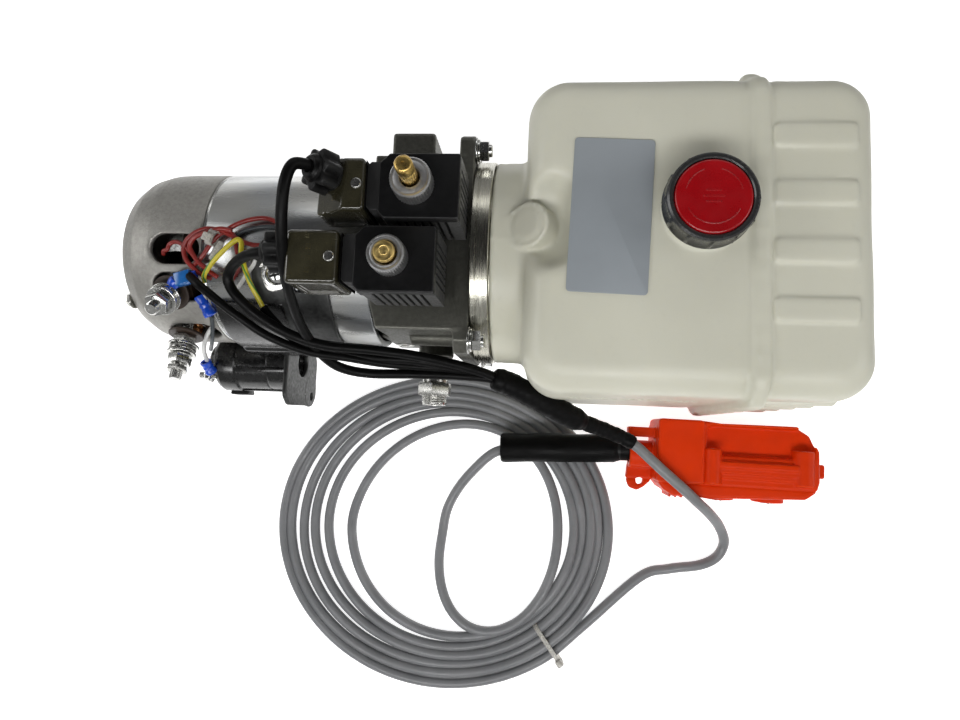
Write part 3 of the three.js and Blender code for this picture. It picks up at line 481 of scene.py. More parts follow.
def tube(path, radius, sides=12):
    """Sweeps a circle along path; radius may be a function of the share along it."""
    count = len(path)
    tangents = [(path[min(i + 1, count - 1)] - path[max(i - 1, 0)]).normalized()
                for i in range(count)]
    up = Vector((0, 0, 1)) if abs(tangents[0].z) < 0.9 else Vector((1, 0, 0))
    x = (up - tangents[0] * up.dot(tangents[0])).normalized()
    rings = []
    for i, tangent in enumerate(tangents):
        x = (x - tangent * x.dot(tangent)).normalized()
        y = tangent.cross(x)
        r = radius(i / (count - 1)) if callable(radius) else radius
        angles = [2 * math.pi * k / sides for k in range(sides)]
        rings.append([path[i] + r * (x * math.cos(a) + y * math.sin(a)) for a in angles])
    mesh, rows = loft(rings)
    for row, outward, flip in ((rows[0], -tangents[0], True), (rows[-1], tangents[-1], False)):
        centre = sum((v.co for v in row), Vector()) / sides
        rise = outward * ((row[0].co - centre).length * 0.16)
        inner = [mesh.verts.new(centre + (v.co - centre) * 0.8 + rise) for v in row]
        for k in range(sides):
            j = (k + 1) % sides
            face = (row[k], row[j], inner[j], inner[k])
            mesh.faces.new(tuple(reversed(face)) if flip else face)
        mesh.faces.new(list(reversed(inner)) if flip else inner)
    return mesh


def show(name, mesh, rep, body="unit"):
    shown = bpy.data.objects.new(name, mesh)
    bpy.context.scene.collection.objects.link(shown)
    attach(shown, body)
    if rep:
        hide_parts(*rep)


def piece(name, parts, mat, rep=(), body="unit", angle=38):
    """One object from bmeshes; a part may be a (bmesh, material) pair."""
    mesh = bpy.data.meshes.new(name)
    mats = []
    whole = bmesh.new()
    for part in parts:
        solid, worn = part if isinstance(part, tuple) else (part, mat)
        if worn not in mats:
            mats.append(worn)
        for face in solid.faces:
            face.material_index = mats.index(worn)
        carrier = bpy.data.meshes.new("tmp")
        solid.to_mesh(carrier)
        solid.free()
        whole.from_mesh(carrier)
        bpy.data.meshes.remove(carrier)
    whole.transform(Matrix.Scale(MM, 4))
    whole.to_mesh(mesh)
    whole.free()
    for worn in mats:
        mesh.materials.append(worn)
    mesh.polygons.foreach_set("use_smooth", [True] * len(mesh.polygons))
    mesh.set_sharp_from_angle(angle=math.radians(angle))
    show(name, mesh, rep, body)


# ---------------------------------------------------------------- moulded shapes
class Field:
    """Sample grid for signed distances, which are negative inside the form."""

    def __init__(self, low, high, step, quick_step):
        self.step = step
        self.low = np.array(low, float)
        counts = np.ceil((np.array(high, float) - self.low) / self.step).astype(int) + 1
        lines = [(self.low[k] + self.step * np.arange(counts[k])).astype(np.float32)
                 for k in range(3)]
        self.axes = np.meshgrid(*lines, indexing="ij", sparse=False)

    def box(self, x0, x1, y0, y1, z0, z1, rim):
        ranges = zip(self.axes, (x0, y0, z0), (x1, y1, z1))
        gap = [np.abs(v - (a + b) / 2) - (b - a) / 2 + rim for v, a, b in ranges]
        outside = np.sqrt(sum(np.maximum(g, 0) ** 2 for g in gap))
        return outside + np.minimum(np.maximum(np.maximum(gap[0], gap[1]), gap[2]), 0) - rim


def join(first, second, blend):
    """Union whose seam is rounded over blend."""
    if blend <= 0:
        return np.minimum(first, second)
    t = np.clip(0.5 + 0.5 * (second - first) / blend, 0, 1)
    return second * (1 - t) + first * t - blend * t * (1 - t)


def meet(first, second, blend=0):
    return -join(-first, -second, blend)


def cut(form, tool, blend=0):
    return meet(form, -tool, blend)


def ridge(value, at, width):
    """Bell curve around at; added to a form it sinks a groove."""
    return np.exp(-((value - at) / width) ** 2)


def rounded_rect(x, y, half_x, half_y, corner):
    gap_x, gap_y = np.abs(x) - half_x + corner, np.abs(y) - half_y + corner
    return (np.minimum(np.maximum(gap_x, gap_y), 0)
            + np.hypot(np.maximum(gap_x, 0), np.maximum(gap_y, 0)) - corner)


def extrude(flat, z, z0, z1, rim):
    """Solid from a 2-D distance between z0 and z1, with rounded rims."""
    side, end = flat + rim, np.abs(z - (z0 + z1) / 2) - (z1 - z0) / 2 + rim
    return (np.minimum(np.maximum(side, end), 0)
            + np.hypot(np.maximum(side, 0), np.maximum(end, 0)) - rim)


def polygon(x, y, points):
    """Signed distance to a polygon."""
    squared = np.full(x.shape, 1e9, np.float32)
    sign = np.ones(x.shape, np.float32)
    for i, (ax, ay) in enumerate(points):
        bx, by = points[i - 1]
        ex, ey = bx - ax, by - ay
        wx, wy = x - ax, y - ay
        t = np.clip((wx * ex + wy * ey) / max(ex * ex + ey * ey, 1e-12), 0, 1)
        squared = np.minimum(squared, (wx - ex * t) ** 2 + (wy - ey * t) ** 2)
        above, below, left = y >= ay, y < by, ex * wy > ey * wx
        crossed = (above & below & left) | (~above & ~below & ~left)
        sign = np.where(crossed, -sign, sign)
    return sign * np.sqrt(squared)


def surface_net(grid, form):
    """Vertices and quads of the zero level of form."""
    form = form.astype(np.float32)
    for axis in range(3):                 # the outermost samples always count as outside
        layers = np.moveaxis(form, axis, 0)
        for end in (0, -1):
            layers[end] = np.maximum(layers[end], 0.01)
    inside = form < 0
    cells = tuple(n - 1 for n in form.shape)
    total = np.zeros((*cells, 3), np.float32)
    crossings = np.zeros(cells, np.float32)

    def samples(corner):
        return form[tuple(slice(c, c + n) for c, n in zip(corner, cells))]

    for corner in [(i, j, k) for i in (0, 1) for j in (0, 1) for k in (0, 1)]:
        for axis in range(3):
            if corner[axis]:
                continue
            other = tuple(c + (1 if q == axis else 0) for q, c in enumerate(corner))
            near, far = samples(corner), samples(other)
            crossed = (near < 0) != (far < 0)
            t = np.where(crossed, near / np.where(crossed, near - far, 1), 0)
            for q in range(3):
                total[..., q] += np.where(crossed, corner[q] + (t if q == axis else 0), 0)
            crossings += crossed
    used = crossings > 0
    index = np.full(cells, -1, np.int64)
    index[used] = np.arange(used.sum())
    verts = grid.low + grid.step * (np.argwhere(used) + total[used] / crossings[used][:, None])

    def vertex(cell):
        return index[cell[:, 0], cell[:, 1], cell[:, 2]]

    quads = []
    for axis in range(3):
        near, far = [slice(1, -1)] * 3, [slice(1, -1)] * 3
        near[axis], far[axis] = slice(0, -1), slice(1, None)
        near, far = inside[tuple(near)], inside[tuple(far)]
        shift = np.ones(3, int)
        shift[axis] = 0
        du, dv = np.zeros(3, int), np.zeros(3, int)
        du[(axis + 1) % 3], dv[(axis + 2) % 3] = 1, 1
        for flip, crossed in ((False, near & ~far), (True, ~near & far)):
            cell = np.argwhere(crossed)
            if not len(cell):
                continue
            cell = cell + shift
            quad = np.stack([vertex(cell - du - dv), vertex(cell - dv), vertex(cell),
                             vertex(cell - du)], 1)
            quads.append(quad[:, ::-1] if flip else quad)
    return verts, np.concatenate(quads)


def moulded(name, grid, form, mat, rep=(), relax=1, angle=45, place=None):
    """Object on the surface of a form; relax passes smooth out the grid steps."""
    verts, quads = surface_net(grid, form)
    for _ in range(relax):
        total = np.zeros_like(verts)
        count = np.zeros(len(verts))
        for i in range(4):
            a, b = quads[:, i], quads[:, (i + 1) % 4]
            np.add.at(total, a, verts[b])
            np.add.at(total, b, verts[a])
            np.add.at(count, a, 1)
            np.add.at(count, b, 1)
        verts = 0.6 * verts + 0.4 * total / np.maximum(count, 1)[:, None]
    if place is not None:
        matrix = np.array(place)
        verts = verts @ matrix[:3, :3].T + matrix[:3, 3]
    mesh = bpy.data.meshes.new(name)
    mesh.vertices.add(len(verts))
    mesh.vertices.foreach_set("co", (verts * MM).astype(np.float32).ravel())
    mesh.loops.add(len(quads) * 4)
    mesh.loops.foreach_set("vertex_index", quads.astype(np.int32).ravel())
    mesh.polygons.add(len(quads))
    mesh.polygons.foreach_set("loop_start", np.arange(0, len(quads) * 4, 4, dtype=np.int32))
    mesh.polygons.foreach_set("use_smooth", np.ones(len(quads), bool))
    mesh.update(calc_edges=True)
    mesh.validate()
    mesh.materials.append(mat)
    if angle:
        mesh.set_sharp_from_angle(angle=math.radians(angle))
    show(name, mesh, rep)


# ================================================================ motor
piece("motor_barrel", [lathe([
    (53, -134), (56.5, -134), (BARREL_R, -133.5), (BARREL_R, -132.6), (56.75, -132.2),
    (BARREL_R, -131.8), (BARREL_R, -31.6), (56.8, -31.2), (BARREL_R, -30.8), (56.6, -30.3),
    (53, -30.3)], 160, MOTOR_AXIS, closed=True)], BARREL, ["motor_yoke"])

# hollow end cap, its section given as (radius, distance towards -X)
CAP_OUTER = [(-6, 204), (4.6, 204), (6.2, 200.6), (22, 200.4), (37, 197.8), (47, 191.5),
             (53.4, 182), (56.4, 171.5), (57, 160), (57, 134.3)]
CAP_INNER = [(53, 134.3), (53, 164), (51.6, 174), (48.5, 182.5), (42, 190.5), (33, 194.5),
             (18.3, 196), (18.3, 180), (13.3, 180), (13.3, 196.5), (-6, 196.5)]
WINDOW_ANGLES = (0.115, 0.545, 1.22, math.pi + 0.3)
grid = Field((-207, -60, -9), (-132.6, 60, 109), 0.94, 1.1)
x, y, z = grid.axes
radius = np.hypot(y, z - AXIS_Z)
form = polygon(radius, -x, fillet(CAP_OUTER, 9, 6, closed=False, keep=(0, 1, 9)) + CAP_INNER)
for angle in WINDOW_ANGLES:
    outward = -y * math.sin(angle) + (z - AXIS_Z) * math.cos(angle)
    across = y * math.cos(angle) + (z - AXIS_Z) * math.sin(angle)
    window = rounded_rect(-x - 151.75, across, 15.75, 9.25, 9.2)
    form = cut(form, np.maximum(window, 20 - outward), 1.0)
form += 0.25 * ridge(-x, 171.5, 0.9) * (radius > 50)
moulded("motor_end_cap_cast", grid, form, ENDCAP, ["motor_end_cap"], angle=60)

# two through-bolt heads on the end face
BOLT_PITCH_R, HEAD_R, HEAD_H = 43, 4.6, 3.4
for k, angle in enumerate((0.9, 0.9 + math.pi)):
    at = (-193.6, -BOLT_PITCH_R * math.sin(angle), AXIS_Z + BOLT_PITCH_R * math.cos(angle))
    place = basis(at, (-1, 0, 0))
    crown = [(0, HEAD_H - 0.02), (HEAD_R * 0.80, HEAD_H - 0.02), (HEAD_R * 0.84, HEAD_H + 0.10),
             (HEAD_R * 0.70, HEAD_H + 0.22), (0, HEAD_H + 0.22)]
    piece(f"through_bolt_{k + 1}", [
        prism(hexagon(HEAD_R), 0.0, HEAD_H, HEAD_R * 0.09, place, foot=0.15),
        lathe(crown, 32, place), washer(1, 6.0, -1.0, 0, 0.25, 40, place)], ZINC)

# finishes of the CAD pieces that stay in view; the armature's near-black is painted shade inside
# the motor
CAD_FINISHES = (
    (ARMATURE_SHADE, "armature"), (SHADOW, "field_frame"), (BAKELITE, "brush_carrier"),
    (CARBON, "brush_1 brush_2"), (CUT_ALU, "pump_body pump_cover"), (NYLON, "suction_tube"),
    (SOFT_ZINC, "relief_plug"),
    (STEEL, "rear_bearing front_bearing drive_coupling drive_gear driven_gear "
            "suction_strainer relief_poppet relief_spring valve_upper_cartridge "
            "valve_lower_cartridge valve_upper_plunger valve_lower_plunger relay_plunger"))
for mat, names in CAD_FINISHES:
    for name in names.split():
        NODES[name].data.materials.clear()
        NODES[name].data.materials.append(mat)


def terminal_stud(tag, angle, x, tip, nut_z, stack):
    """Threaded stud; stack rows are (foot z, radius, height, material), nuts from 3 mm up."""
    place = basis((x, 0, AXIS_Z), motor_radial(angle), (1, 0, 0))
    piece(f"stud_{tag}_rod", [thread(place, 4.0, 40, tip, 1.2, 32)], BRIGHT,
          [f"stud_{tag}"])
    piece(f"stud_{tag}_nut", [
        prism(hexagon(7.5, 0.3), nut_z - 3.2, nut_z + 3.2, 0.8, place, foot=0.5),
        washer(4.3, 9.3, nut_z - 5.2, nut_z - 3.8, 0.4, 48, place)],
        BRIGHT, [f"stud_nut_{tag}"])
    for i, (foot, r, height, mat) in enumerate(stack):
        if height < 3:
            solid = washer(4.3, r, foot, foot + height, 0.35, 48, place)
        else:
            solid = prism(hexagon(r, 0.1), foot, foot + height, 0.7, place)
        piece(f"stud_{tag}_stack_{i + 1}", [solid], mat)
    return place


stud_a = terminal_stud("a", 0.60, -156, 83, 74.5, [
    (58.5, 7.4, 5.4, BRIGHT), (64.3, 9.6, 1.5, BRIGHT), (66.0, 8.2, 1.9, BRIGHT),
    (56.6, 11.5, 1.8, BAKELITE)])
terminal_stud("b", 1.25, -160, 90, 76.5, [
    (57.5, 11.0, 1.6, BAKELITE), (59.6, 7.6, 5.8, SOFT_ZINC), (65.8, 9.8, 1.5, BRIGHT),
    (67.7, 8.4, 2.6, SOFT_ZINC), (81.2, 6.6, 3.6, SOFT_ZINC)])
# copper-headed screw and its washer beside the studs
place = basis((-157, -50, AXIS_Z + 12), (0, -0.93, 0.36), (1, 0, 0))
head = fillet([(0, 3.5), (4.0, 3.2), (4.6, 0.6), (4.6, -2), (0, -2)], 0.9, closed=False)
piece("brush_lead_screw", [lathe(head, 32, place),
                           (washer(4.4, 7.2, -2.6, -1, 0.3, 32, place), BRIGHT)],
      COPPER_BOLT)

# ================================================================ manifold
OUTLET_X, OUTLET_Z = 3, 35
FLANGE = [(-55, 0), (55, 0), (71, 16), (71, 93), (68, 98.5), (66, 100), (-58, 100),
          (-65, 93), (-65, 16)]                          # y, z
SLANT = [(-32, -54), (-32, -34), (-30, -34), (-24.5, -54)]        # x, y, cut above POCKET_Z
POCKET_Z = 62
grid = Field((-33, -66, -3), (34.6, 78, 103), 0.85, 1.15)
x, y, z = grid.axes
outlet = np.hypot(x - OUTLET_X, z - OUTLET_Z)
form = grid.box(-30, 26, -52, 56, 0, 100, 1.3)
form = join(form, grid.box(-21.8, 5.5, 50, 74, 18, 92, 2.0), 1.5)
form = join(form, extrude(polygon(y, z, FLANGE), x, 22, 31.5, 0.9), 1.6)
form = join(form, extrude(np.hypot(y + 50.5, z - 66) - 7.2, x, -9, 24, 1.0), 1.5)
form = join(form, extrude(np.hypot(y - 60, z - 30) - 11, x, -9, 24, 1.0), 1.5)
form = join(form, extrude(outlet - 12, y, -62, -45, 1.0), 1.5)
form = cut(form, np.maximum(polygon(x, y, SLANT), POCKET_Z - z), 0.8)
for valve_x, valve_y in (UPPER_VALVE, LOWER_VALVE):
    form = cut(form, np.maximum(np.hypot(x - valve_x, y - valve_y) - 9.6, POCKET_Z - z))
form = cut(form, np.maximum(np.hypot(y - 49, z - 8.5) - 5.6, x + 8))
form = cut(form, np.maximum(np.hypot(y, z - AXIS_Z) - 14.2, x + 6))
form = cut(form, np.maximum(outlet - 6.8, y + 30))
for hole_x, hole_y in ((-18, 32), (14, 32), (-18, -32), (14, -32)):
    form = cut(form, np.maximum(np.hypot(x - hole_x, y - hole_y) - 4.3, z - 16), 0.4)
form = cut(form, grid.box(8, 20.5, 38, 52, 98.9, 104, 0.8), 0.4)    # shallow step on the top
moulded("manifold_casting", grid, form, ALU, ["manifold"], angle=50)

# plugs with hexagon sockets: centre, axis, radius
GALLERY_PLUGS = (((-30, -30, 22), (-1, 0, 0), 6.5), ((-22, -52, 20), (0, -1, 0), 6.5),
                 ((-12, 74, 55), (0, 1, 0), 7.5), ((15, 46, 98.9), (0, 0, 1), 5.2),
                 ((20, -52, 60), (0, -1, 0), 5.0))
for k, (at, axis, r) in enumerate(GALLERY_PLUGS):
    place = basis(at, axis)
    section = [(r * 0.5, -1.2), (r * 0.5, 0.5), (r, 0.5), (r, -0.6), (r * 0.9, -1.2)]
    piece(f"gallery_plug_{k + 1}", [
        lathe(fillet(section, 0.25), 40, place, closed=True),
        (prism(hexagon(r * 0.52), -1.3, -1.0, 0.05, place, seg=1), SHADOW)], ZINC)

# outlet fitting, its profile measured towards -Y
place = basis((OUTLET_X, 0, OUTLET_Z), (0, -1, 0), (1, 0, 0))
nose = [(0, 88), (8.9, 88), (8.9, 88.9), (8.0, 89.2), (8.6, 90.0), (8.0, 90.7), (8.6, 91.4),
        (8.0, 92.1), (8.6, 92.8), (8.3, 94.4), (7.6, 95), (5.2, 95), (4.6, 93), (4.6, 90),
        (0, 90)]
piece("outlet_union", [
    thread(place, 6.4, 48, 66, 1.5, 36), washer(4.6, 8.4, 62.4, 79.5, 0.8, 48, place),
    prism(hexagon(12, math.pi / 6), 79.5, 88.5, 1.1, place), lathe(nose, 48, place)],
    SOFT_ZINC, ["outlet_fitting"])

piece("adapter_ring_turned", [lathe([
    (57, 31.8), (65.4, 31.8), (RING_R, 32.6), (RING_R, 35.0), (65.9, 35.2), (65.9, 35.8),
    (RING_R, 36.0), (RING_R, 42.6), (65.6, 43.2), (61.2, 43.2), (61.2, 57.2), (57, 57.2)],
    160, MOTOR_AXIS, closed=True)], RING, ["adapter_ring"])
# bolts just outside the ring, each on the ray through the given y, z
for i, (y, z) in enumerate(((60, 92), (60, 8), (-50, 92), (-50, 8))):
    reach = (RING_R + 8.9) / math.hypot(y, z - AXIS_Z)
    place = basis((31.5, y * reach, AXIS_Z + (z - AXIS_Z) * reach), (1, 0, 0))
    piece(f"flange_bolt_{i + 1}_head", [
        washer(3.4, 8.2, 0.1, 1.2, 0.3, 40, place), washer(3.4, 6.9, 1.25, 2.6, 0.3, 40, place),
        prism(hexagon(6.6, 0.35 * i), 2.7, 8.2, 0.8, place),
        lathe([(0, 8.2), (3.9, 8.2), (3.9, 9.6), (3.2, 10.2), (0, 10.2)], 24, place)],
        BRIGHT, [f"flange_bolt_{i + 1}"])


# ================================================================ solenoid valves
COIL_HALF_X, COIL_HALF_Y = 22, 18
BLOCK_REACH = 6.5                # connector block on the -X side of the coil


def coil(tag, axis_x, axis_y, coil_x):
    x0, x1 = coil_x - COIL_HALF_X, coil_x + COIL_HALF_X
    y0, y1 = axis_y - COIL_HALF_Y, axis_y + COIL_HALF_Y
    corner = [(x0 + 5.5, y1), (x0, y1 - 5.5), (x0, y0 + 3.5), (x0 + 3.5, y0)]
    top = fillet(corner + [(x1, y0), (x1, y1)], 1.4, 4)
    fluted = list(corner)        # flutes run up the -Y and +X faces
    x = x0 + 9
    while x < x1 - 5:
        fluted += [(x, y0), (x + 0.35, y0 + 1.5), (x + 1.55, y0 + 1.5), (x + 1.9, y0)]
        x += 4.4
    fluted += [(x1, y0)]
    y = y0 + 7
    while y < y1 - 6:
        fluted += [(x1, y), (x1 - 1.3, y + 0.35), (x1 - 1.3, y + 1.45), (x1, y + 1.8)]
        y += 4.2
    fluted += [(x1, y1)]
    tip = x0 - BLOCK_REACH
    block = [(x0 + 2, axis_y + 13.5), (x0 - 4.5, axis_y + 13.5), (tip, axis_y + 11.5),
             (tip, axis_y - 11.5), (x0 - 4.5, axis_y - 13.5), (x0 + 2, axis_y - 13.5)]
    piece(f"valve_{tag}_coil_body", [
        prism(fluted, 108.3, 143.4, 0.35, seg=1), prism(top, 143.0, 150.0, 0.9, seg=3, foot=0.25),
        prism(fillet(block, 0.8, 2), 114.3, 149.4, 0.7)],
        COIL, [f"valve_{tag}_coil"])
    piece(f"valve_{tag}_collar",
          [washer(7.9, 12.6, 107.8, 108.25, 0.1, 48, move(axis_x, axis_y, 0))],
          SOFT_ZINC)


def coil_nut(tag, place, bore, r):
    profile = [
        (8.0, 150.25, 0), (r - 0.9, 150.25, 0), (r - 0.35, 150.8, 0), (r, 151.4, 0.42),
        (r, 161.2, 0.42), (r - 0.3, 161.9, 0), (r - 1.0, 162.8, 0), (r - 1.5, 162.8, 0),
        (r - 1.7, 162.66, 0), (r - 2.4, 162.66, 0), (r - 2.6, 162.8, 0),
        (bore + 0.35, 162.8, 0), (bore, 162.4, 0), (bore, 160.6, 0), (8.0, 160.6, 0)]
    piece(f"valve_{tag}_knob", [star_ring(profile, 44, place)], KNURL,
          [f"valve_{tag}_coil_nut"])


def upper_override(place):
    profile = [
        (1.0, 154.6, 0), (4.1, 154.6, 0), (4.1, 161.8, 0), (4.3, 162.2, 0), (4.55, 162.8, 0.34),
        (4.55, 170.8, 0.34), (3.9, 171.4, 0), (3.9, 172.6, 0), (4.7, 173.2, 0), (4.7, 179.8, 0),
        (4.2, 180.6, 0), (3.4, 181.0, 0), (1.0, 181.0, 0)]
    core = [(0, 180.6), (1.2, 180.8), (1.2, 154.9), (0, 154.9)]
    piece("valve_upper_pin", [star_ring(profile, 18, place), lathe(core, 24, place)],
          BRASS, ["valve_upper_override"], body="upper_override")


def lower_override(place):
    profile = [(0, 152.1), (4.1, 152.1), (4.1, 161.3), (5.75, 161.6), (5.75, 165.0),
               (5.2, 165.6), (2.9, 165.6), (2.7, 165.42), (2.2, 165.42), (2.0, 165.6),
               (0, 165.6)]
    piece("valve_lower_pull", [lathe(fillet(profile, 0.15, 1, closed=False), 64, place)],
          BRASS_FACE, ["valve_lower_override"], body="lower_override")


def plug(tag, axis_y, face_x, plug_x, gland):
    """Smoky connector shell over a dark core, with its gasket, screw and gland nut."""
    grid = Field((plug_x - 17, axis_y - 18, 115), (plug_x + 17, axis_y + 18, 157), 0.75, 1.0)
    x, y, z = grid.axes
    local = [row[0] * x + row[1] * y + row[2] * z + row[3]
             for row in np.array(gland.inverted())[:3]]
    form = grid.box(plug_x - 14.5, plug_x + 14.5, axis_y - 14.75, axis_y + 14.75, 118, 153, 2.6)
    form = join(form, extrude(np.hypot(local[0], local[1]) - 10.2, local[2], -22, 0.2, 1.0), 2.0)
    form = meet(form, local[2] - 0.1, 0.5)
    form = meet(form, grid.box(plug_x - 15.4, plug_x + 14.5, axis_y - 15.4, axis_y + 15.4,
                               118, 153.6, 1.0))
    for y0, y1 in ((axis_y - 18, axis_y - 13.9), (axis_y + 13.9, axis_y + 18)):
        form = cut(form, grid.box(plug_x - 9, plug_x + 9, y0, y1, 126, 146, 0.8), 0.4)
    form += 0.55 * ridge(z, 123.5, 0.8)
    moulded(f"valve_{tag}_plug_shell", grid, form, SMOKY, [f"valve_{tag}_plug"])

    rows = [axis_y + offset for offset in (-6.5, 0, 6.5)]
    core = [prism(rrect(21, 22, 1.5, plug_x + 1, axis_y), 119.5, 141, 0.6)]
    core += [prism(rrect(9, 4.0, 0.6, plug_x - 3, row), 140.5, 145.5) for row in rows]
    core += [(prism(rrect(3, 3, 0.4, plug_x - 3, row), 145.3, 146.6, 0.3), BRASS)
             for row in rows]
    piece(f"valve_{tag}_plug_core", core, PLUG_CORE)
    gasket = [(face_x - 0.15, axis_y - 13.6), (face_x + 0.25, axis_y - 13.6),
              (face_x + 0.25, axis_y + 13.6), (face_x - 0.15, axis_y + 13.6)]
    piece(f"valve_{tag}_plug_gasket", [prism(fillet(gasket, 0.1, 1), 119, 150.5, 0.1, seg=1)],
          RUBBER)
    screw = fillet([(0, 0.9), (2.5, 0.9), (3.0, 0.4), (3.0, -0.6), (0, -0.6)], 0.2, 2,
                   closed=False)
    piece(f"valve_{tag}_plug_screw",
          [lathe(screw, 32, basis((plug_x + 10.2, axis_y, 153.0), (0, 0, 1)))],
          SOFT_ZINC)
    lobes = []
    for i in range(112):
        a = 2 * math.pi * i / 112
        r = 10.6 + 1.3 * math.cos(7 * a)
        lobes.append((r * math.cos(a), r * math.sin(a)))
    mouth = fillet([(3.6, 13), (7.9, 13), (7.4, 15.2), (5.9, 17), (3.6, 17)], 0.5)
    piece(f"valve_{tag}_gland_nut", [
        prism(lobes, 3.0, 13.6, 1.3, gland, seg=3, foot=0.5),
        washer(4.0, 8.3, 0.25, 3.6, 0.4, 48, gland), lathe(mouth, 48, gland, closed=True)],
        BLACK, [f"valve_{tag}_gland"])


def valve(tag, axis, coil_shift, override, pin_r, knob_r, plug_shift, gland_place):
    """One valve head; returns the placement of its cable gland."""
    axis_x, axis_y = axis
    coil_x = axis_x + coil_shift
    place = move(axis_x, axis_y, 0)
    coil(tag, axis_x, axis_y, coil_x)
    coil_nut(tag, place, pin_r + 0.7, knob_r)
    override(place)
    face_x = coil_x - COIL_HALF_X - BLOCK_REACH - 0.3
    gland = place @ gland_place
    plug(tag, axis_y, face_x, face_x - 14.8 + plug_shift, gland)
    return gland


upper_gland = valve("upper", UPPER_VALVE, coil_shift=2.5, override=upper_override, pin_r=4.7,
                    knob_r=11.2, plug_shift=0,
                    gland_place=move(-45, 5.5, 147.5) @ turn(-0.05, "X") @ turn(-0.6, "Y"))
lower_gland = valve("lower", LOWER_VALVE, coil_shift=2.0, override=lower_override, pin_r=5.8,
                    knob_r=10.2, plug_shift=-1.0,
                    gland_place=move(-57.0, 5.0, 141) @ turn(-math.pi / 2, "Y"))

# ================================================================ tank
grid = Field((40, -98, -46), (258.5, 104, 150), 1.6, 2.2)
x, y, z = grid.axes
form = extrude(rounded_rect(x - 159, y - 2.5, 95, 90.5, 23), z, -42, 130, 17)
# faint unevenness of blown walls
form = (form + 0.22 * np.sin(x / 19) * np.sin(y / 24 + 0.8) * (z > 0)
        + 0.12 * np.sin(y / 9 + x / 13))
# raised band round the tank with a lug on its +Y side, between two grooves
lug = grid.box(184, 196.5, 86, 99.5, 92, 116, 4.5)
belt = extrude(rounded_rect(y - 0.75, z - 45.2, 94.6, 87.0, 19), x, 187, 196, 2.2)
belt += (0.22 * np.sin(y * 0.55) * np.sin(z * 0.31 + 1)
         + 0.15 * np.sin(y * 1.9 + z * 1.3))
form = form + 0.75 * ridge(x, 184.2, 1.2)
form = join(form, join(belt, lug, 5.0), 2.2)
form = form + 0.9 * ridge(x, 198.2, 1.3)
# ribs on the top and on the -Y wall
for rib_y in (55.5, 23.5, -8.5, -40.5):
    form = join(form, grid.box(198, 241.5, rib_y - 6.5, rib_y + 6.5, 124, 132.0, 1.0), 1.2)
for rib_z in (-22, 8, 38, 68, 98):
    form = join(form, grid.box(198, 240, -89.8, -84, rib_z, rib_z + 5, 1.3), 1.5)
# round neck towards the manifold
neck = extrude(np.hypot(y, z - AXIS_Z) - 65.6, x, 43.6, 84, 1.2)
neck = neck - 0.35 * ridge(y, 0, 1.2) * (z > 60)
neck = neck + 0.5 * ridge(x, 48.6, 1.1)
form = join(form, neck, 5.0)
# dished hollow with a leaning stub inside it
form = cut(form, np.sqrt((x - 76) ** 2 + ((y - 7) * 0.86) ** 2 + (z - 136) ** 2) - 24.0, 6.0)
STUB_LEAN, STUB_END = -0.5, 25.5
from_x, from_y, from_z = x - 76.5, y - 7, z - 98
along = from_x * math.sin(STUB_LEAN) + from_z * math.cos(STUB_LEAN)
around = np.sqrt(np.maximum(from_x ** 2 + from_y ** 2 + from_z ** 2 - along ** 2, 0))
form = join(form, extrude(around - 13.6, along, -10, STUB_END, 1.2), 1.6)
form = form + 1.1 * ridge(around, 10.6, 1.3) * (np.abs(along - STUB_END) < 3)
# threaded filler neck
around = np.hypot(x - CAP_X, y - CAP_Y)
helix = 2 * math.pi * z / 4.0 - np.arctan2(y - CAP_Y, x - CAP_X)
form = join(form, extrude(around - 21.5, z, 118, 134.2, 1.0), 3.0)
form = join(form, extrude(around - 17.3 - 0.5 * np.maximum(0, np.sin(helix)),
                          z, 118, 146.4, 0.8), 0.6)
form = cut(form, np.maximum(around - 14.6, -(z + 20)))
moulded("tank_shell", grid, form, IVORY, ["tank"], relax=2, angle=0)

# moulded bars on the -Y wall, every third one wider
wall = Matrix(((1, 0, 0, 0), (0, 0, -1, -87.75), (0, 1, 0, 0), (0, 0, 0, 1)))
bars = []
for i in range(15):
    width = 3.2 if i % 3 else 4.6
    x = 92 + i * 5.4
    outline = [(x, 72), (x + width, 72), (x + width, 73.6), (x, 73.6)]
    bars.append(prism(fillet(outline, 0.4, 2), 0, 0.7, 0.3, wall, seg=1))
piece("tank_graduations", bars, IVORY)

piece("label_film", [prism(rrect(44, 87, 2.2, seg=6), 130.25, 130.85, 0.18,
                           move(LABEL_X, LABEL_Y, 0) @ turn(-0.035, "Z"))],
      LABEL, ["label_plate"])

# filler cap shell: radius, z, share of grip rib
CAP_SHELL = [
    (18.3, 137.0, 0), (23.4, 137.0, 0), (24.2, 137.7, 0), (24.3, 139.2, 0), (24.0, 139.8, 1),
    (23.6, 148.6, 1), (23.7, 149.2, 0), (23.4, 150.8, 0), (22.4, 151.6, 0), (20.9, 151.6, 0),
    (20.2, 151.0, 0), (20.2, 149.3, 0), (18.3, 149.2, 0), (18.3, 147.2, 0)]
CAP_SIDES, CAP_RIBS, RIB_HEIGHT = 240, 12, 0.75
rings = []
for r, z, share in CAP_SHELL:
    ring = []
    for k in range(CAP_SIDES):
        a = 2 * math.pi * k / CAP_SIDES
        ribbed = r + share * RIB_HEIGHT * max(0.0, math.cos(a * CAP_RIBS)) ** 14
        ring.append((ribbed * math.cos(a), ribbed * math.sin(a), z))
    rings.append(ring)
cap_place = move(CAP_X, CAP_Y, 0)
disc = [(0, 147.3), (19.0, 147.3), (19.0, 148.9), (0, 148.9)]
piece("cap_shell", [hoop(rings, cap_place), lathe(disc, 64, cap_place)], CAP,
      ["cap_body"], body="filler_cap")
